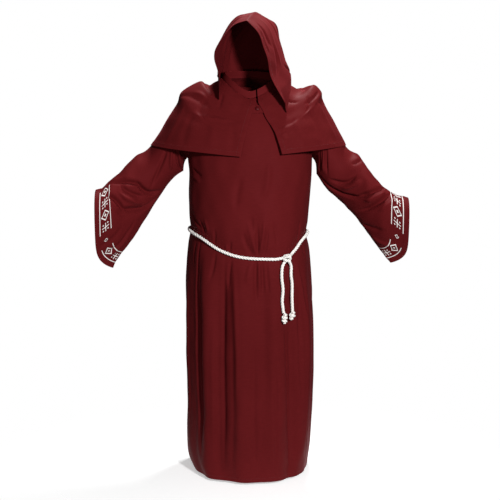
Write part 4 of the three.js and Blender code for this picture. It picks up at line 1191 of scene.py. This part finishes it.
def cape_height(x, y):
    """The cape's height under places in plan, found by halving."""
    low, high = np.zeros(x.shape), np.full(x.shape, float(CAPE_HEM))
    for _ in range(24):
        at = (low + high) / 2
        half, deep = cape_reach(x, y, at)
        past = (x / half) ** 2 + (y / deep) ** 2 > 1
        low, high = np.where(past, at, low), np.where(past, high, at)
    half, deep = cape_reach(x, y, low)
    return cape_surface(np.arctan2(x / half, -y / deep), low)[..., 2]


def hood_surface(side, s, level):
    """Points of one half of the hood, s from the face edge to the back seam."""
    keys = np.arange(HOOD_CROWN + 1.0)
    stations = [sample({"at": keys, "place": np.array(HOOD_LEVELS[name], float)}, "at", "place", level)
                for name in (f"{side}_front", f"{side}_side", f"{side}_rear", "back")]
    rows = {"s": np.array(HOOD_PLACES), "place": np.stack(stations)}
    points = sample(rows, "s", "place", s).swapaxes(0, 1)
    foot = points[0]
    settled = (cape_height(foot[:, 0], foot[:, 1]) + HOOD_STAND - foot[:, 2]) * smooth(0, HOOD_FREE, s)
    points[..., 2] += settled * np.clip(1 - level / HOOD_SETTLE, 0, 1)[:, None]
    return points


def hood_half(side):
    s = np.r_[0, 0.004, 0.014, np.linspace(0.025, 0.985, 100), 0.993, 1]
    level = np.r_[0, 0.04, np.linspace(0.08, HOOD_CROWN - 0.08, 100), HOOD_CROWN - 0.04, HOOD_CROWN]
    grid = hood_surface(side, s, level)
    level = level[:, None]
    height = CREASE_EASE * creases(HOOD_CREASES[side], s, level, HOOD_SCALE)
    height += unevenness(s * HOOD_SCALE[0], level * HOOD_SCALE[1], size=60, depth=0.8, seed=HOOD_SEEDS[side])
    height *= smooth(0, 0.04, s) * smooth(1, 0.96, s)
    height *= smooth(0, 0.4, level) * smooth(HOOD_CROWN, HOOD_CROWN - 0.2, level)
    return grid + HOOD_OUTWARD[side] * surface_normals(grid, False) * height[..., None]


hood_grids = {side: hood_half(side) for side in HOOD_OUTWARD}
for side, grid in hood_grids.items():
    half = cloth(f"hood_side_{side}", grid, outward=HOOD_OUTWARD[side], hems=("left",),
                 seams=("right", "top"))
    dress(half, "maroon_cloth", f"hood_{side}")


# The closing at the neck
# A short cloth tab behind the cape's top corners carries one domed button covered with the same cloth.
TAB = {"left": 2, "right": 54, "from": 1.25, "to": 2.3, "behind": 2.9}
BUTTON = {"x": 28, "at": 1.75, "radius": 8.6, "thickness": 6.5, "rim": 2.2, "lift": 0.3}
BUTTON_SIDES = 48
BUTTON_COLOUR = (0.07, 0.0045, 0.0058)


def cape_front(x, at):
    """Points on the cape's front, at distances right of the centre, and the ways out of the cloth there."""
    x, at = np.broadcast_arrays(np.asarray(x, float), np.asarray(at, float))
    angle = angle_across(x, at)
    point = cape_surface(angle, at)
    out = np.cross(cape_surface(angle, at + 0.01) - point, cape_surface(angle + 0.01, at) - point)
    return point, out / np.linalg.norm(out, axis=-1, keepdims=True)


tab_points, tab_out = cape_front(np.linspace(TAB["left"], TAB["right"], 40),
                                 np.linspace(TAB["from"], TAB["to"], 34)[:, None])
closure = dress(cloth("closing_tab", tab_points - tab_out * TAB["behind"], outward=-1, hems=()),
                "maroon_cloth", "closure_tab")


def button_finish():
    finish = Finish("button_cover")
    place = finish.node("TexCoord", out=3)
    weave = finish.noise(place, scale=900.0)
    relief = finish.bump(weave, distance=0.3 * MM, strength=0.4)
    return finish.set(Base_Color=BUTTON_COLOUR, Roughness=0.4, Normal=relief, Specular_IOR_Level=0.12)


def covered_button():
    """A dome covered with cloth, tucked in under its rim."""
    radius, rim, thickness = BUTTON["radius"], BUTTON["rim"], BUTTON["thickness"]
    turn = np.linspace(0, math.pi / 2, 14)
    profile = np.vstack([[(0, 0), (radius * 0.8, 0), (radius * 0.97, 0.5)],
                         np.c_[radius * np.cos(turn), rim + (thickness - rim) * np.sin(turn)]])
    round_it = np.linspace(0, 2 * math.pi, BUTTON_SIDES, endpoint=False)
    rings = np.stack([profile[:, :1] * np.cos(round_it), profile[:, :1] * np.sin(round_it),
                      profile[:, 1:] + 0 * round_it], axis=-1)
    point, out = cape_front(BUTTON["x"], BUTTON["at"])
    side = np.cross((0, 0, 1), out)
    side /= np.linalg.norm(side)
    axes = np.array([side, np.cross(out, side), out])
    points = rings @ axes + point + out * (BUTTON["lift"] - TAB["behind"])
    j, i = np.meshgrid(np.arange(len(profile) - 1), np.arange(BUTTON_SIDES), indexing="ij")
    below, above, after = j * BUTTON_SIDES, (j + 1) * BUTTON_SIDES, (i + 1) % BUTTON_SIDES
    faces = np.stack([below + i, below + after, above + after, above + i], axis=-1).reshape(-1, 4)
    made = bpy.data.meshes.new("covered_button")
    made.from_pydata((points.reshape(-1, 3) * MM).tolist(), [], faces.tolist())
    made.shade_smooth()
    made.materials.append(button_finish())
    return in_scene("covered_button", made)


dress(covered_button(), "button", "button")


# The rope belt and its knot
# The same rope goes once round the waist and dips in front. It is tied on the right of the centre with
# two crossing turns, from under which the hanging ends come.
ROPE_CLEARANCE = 6.9
KNOT_CENTRE = np.array([140, -195.9, -606])
KNOT_HALF = 14                   # the belt leaves the robe this far to either side of the knot's centre
KNOT_DRAWN = 0.95
BELT_ENDS = ((9, 3, 5), (-10, 3, 1))    # where the belt's two ends lie in the knot, from its centre


def front_angle(x, z):
    """The angle of the robe's front that lies x right of the centre, found by halving."""
    low, high = -math.pi / 2, math.pi / 2
    for _ in range(30):
        middle = (low + high) / 2
        if robe_surface(middle, z)[0] < x:
            low = middle
        else:
            high = middle
    return low


belt_from = front_angle(KNOT_CENTRE[0] + KNOT_HALF, KNOT_CENTRE[2])
belt_to = front_angle(KNOT_CENTRE[0] - KNOT_HALF, KNOT_CENTRE[2]) + 2 * math.pi
belt_angles = np.linspace(belt_from, belt_to, 400)
belt_angles = np.where(belt_angles > math.pi, belt_angles - 2 * math.pi, belt_angles)
belt_line = robe_surface(belt_angles, belt_z(belt_angles))
belt_line += ROPE_CLEARANCE * np.stack([np.sin(belt_angles), -np.cos(belt_angles), 0 * belt_angles], axis=-1)
belt_line = np.vstack([KNOT_CENTRE + BELT_ENDS[0], belt_line[6:-6:6], KNOT_CENTRE + BELT_ENDS[1]])
dress(rope("belt_rope", smooth_line(belt_line, 2.2) * MM), "rope", "rope_belt")

# Each half of the belt goes round the other and comes out below as a hanging end
from_left = smooth_line([(-16, 2, 1), (-8, -5, 4), (2, -10, 6), (11, -5, 3), (11, 4, -5), (2, 6, -9),
                         (-7, 2, -11), (-9, 0, -17)], 2)
from_right = smooth_line([(17, 3, 8), (8, 5, 9), (-4, 6, 8), (-13, 0, 1), (-8, -8, -6), (3, -9, -9),
                          (9, -4, -12), (10, 0, -17)], 2)
tie = rope("belt_tie", (KNOT_CENTRE + from_left) * MM, (KNOT_CENTRE + from_right) * MM, drawn=KNOT_DRAWN)
dress(tie, "rope", "belt_knot")


# The stitching
# Rows of straight lockstitch in matching thread hold the turned hems: round the foot of the robe, the cuffs,
# the cape's edges and the hood's face edge.
STITCH_PITCH = 3.2 * MM
STITCH_LENGTH = 2.5 * MM
STITCH_RADIUS = 0.32 * MM
STITCH_IN = HEM_WIDTH - 3
STITCH_LIFT = HEM_RELIEF + 0.05
ROW_END = 4                      # a row stops this far from the cloth's edges
THREAD_COLOUR = (0.13, 0.012, 0.014)


def stitch_tree():
    """Small thread ends set along curves."""
    made = MakingTree("stitch_rows", Pitch=STITCH_PITCH, Length=STITCH_LENGTH, Radius=STITCH_RADIUS)
    given = made.given
    points = made.node("GeometryNodeCurveToPoints", {"mode": "LENGTH"},
                       {"Curve": given["Route"], "Length": given["Pitch"]})
    grain = made.node("GeometryNodeMeshIcoSphere", {}, {"Radius": 1})
    size = made.node("ShaderNodeCombineXYZ", {}, {"X": given["Radius"], "Y": given["Radius"],
                                                  "Z": made.maths("MULTIPLY", given["Length"], 0.5)})
    placed = made.node("GeometryNodeInstanceOnPoints", {},
                       {"Points": points["Points"], "Rotation": points["Rotation"],
                        "Instance": grain["Mesh"], "Scale": size[0]})
    return made.done(placed[0])


def beside(points, edge, outward=1, closed=False):
    """A line on a cloth's face, a stitch's distance in from one of its edges."""
    lifted = points + surface_normals(points, closed) * outward * STITCH_LIFT
    if edge in ("left", "right"):
        points, lifted = points.swapaxes(0, 1), lifted.swapaxes(0, 1)
    if edge in ("top", "right"):
        points, lifted = points[::-1], lifted[::-1]
    far = np.cumsum(np.linalg.norm(np.diff(points, axis=0), axis=-1), axis=0)
    far = np.vstack([np.zeros((1, far.shape[1])), far])
    line = np.array([[np.interp(STITCH_IN, far[:, k], lifted[:, k, c]) for c in range(3)]
                     for k in range(far.shape[1])])
    if closed:
        return np.vstack([line, line[:1]])
    reach = np.cumsum(np.r_[0, np.linalg.norm(np.diff(line, axis=0), axis=1)])
    return line[(reach > ROW_END) & (reach < reach[-1] - ROW_END)]


def thread_finish():
    finish = Finish("maroon_thread")
    place = finish.node("TexCoord", out=3)
    shade = finish.noise(place, scale=300.0)
    return finish.set(Base_Color=finish.mixed(shade, THREAD_COLOUR, CLOTH_DEEP), Roughness=0.5)


STITCH_TREE = stitch_tree()
THREAD_FINISH = thread_finish()
stitch_lines = {
    "robe_front": [beside(robe_grids["front"], "bottom")],
    "robe_back": [beside(robe_grids["back"], "bottom")],
    "sleeve_left": [beside(sleeve_grids["left"], "top", 1, True)],
    "sleeve_right": [beside(sleeve_grids["right"], "top", -1, True)],
    "cape_left": [beside(cape_grids["left"], hem) for hem in CAPE_HEMS["left"]],
    "cape_back": [beside(cape_grids["back"], hem) for hem in CAPE_HEMS["back"]],
    "cape_right": [beside(cape_grids["right"], hem) for hem in CAPE_HEMS["right"]],
    "hood_left": [beside(hood_grids["left"], "left", HOOD_OUTWARD["left"])],
    "hood_right": [beside(hood_grids["right"], "left", HOOD_OUTWARD["right"])],
}
for name, lines in stitch_lines.items():
    rows = made_along(f"stitches_{name}", [line * MM for line in lines], STITCH_TREE, Finish=THREAD_FINISH)
    dress(rows, "maroon_cloth")


# The light and the ground
# Soft studio light from above, in front and to the right, on plain white. The costume stands just over a
# pale floor.
LIGHTS = {
    "key": {"place": (1.3, -3.3, 0.55), "size": 0.4, "power_w": 132},
    "fill": {"place": (-0.9, -3.6, -0.6), "size": 0.6, "power_w": 14},
    "top": {"place": (0.25, 0.5, 1.55), "size": 0.4, "power_w": 62},
}
LIT_POINT = Vector((0, 0, -0.5))
ROOM_LIGHT = 0.08                # the white world lights the costume this much, and shows as plain white
FLOOR_HALF = 2
for name, light in LIGHTS.items():
    lamp = bpy.data.lights.new(name, "AREA")
    lamp.shape = "DISK"
    lamp.size = light["size"]
    lamp.energy = light["power_w"]
    piece = in_scene(name, lamp)
    piece.location = light["place"]
    piece.rotation_euler = (LIT_POINT - piece.location).to_track_quat("-Z", "Y").to_euler()

world = bpy.data.worlds.new("studio")
world.use_nodes = True
background = next(node for node in world.node_tree.nodes if node.type == "BACKGROUND")
background.inputs["Color"].default_value = (1, 1, 1, 1)
light_path = world.node_tree.nodes.new("ShaderNodeLightPath")
strength = world.node_tree.nodes.new("ShaderNodeMapRange")
strength.inputs["To Min"].default_value = ROOM_LIGHT
strength.inputs["To Max"].default_value = 1.0
world.node_tree.links.new(light_path.outputs["Is Camera Ray"], strength.inputs["Value"])
world.node_tree.links.new(strength.outputs["Result"], background.inputs["Strength"])
bpy.context.scene.world = world
bpy.context.scene.view_settings.view_transform = "Standard"

floor_mesh = bpy.data.meshes.new("studio_floor")
floor_corners = [(x * FLOOR_HALF, y * FLOOR_HALF, FLOOR_Z)
                 for x, y in ((-1, -1), (1, -1), (1, 1), (-1, 1))]
floor_mesh.from_pydata(floor_corners, [], [(0, 1, 2, 3)])
paper = Finish("paper")
spot = paper.stretched(paper.node("TexCoord", out=3), (0.85, 1.1, 0.0))
away = paper.node("VectorMath", {"operation": "LENGTH"}, {0: spot}, out=1)
fading = paper.node("MapRange", {"interpolation_type": "SMOOTHSTEP"},
                    {"Value": away, "From Min": 0.1, "From Max": 1.0, "To Min": 1.0, "To Max": 0.0})
floor_mesh.materials.append(paper.set(Base_Color=(0.95, 0.95, 0.95), Roughness=0.9, Alpha=fading,
                                      Specular_IOR_Level=0.0, Emission_Color=(1, 1, 1),
                                      Emission_Strength=0.45))
in_scene("studio_floor", floor_mesh)


body = list(robe.values())
body + [sleeves["left"]]
body + [sleeves["right"]]
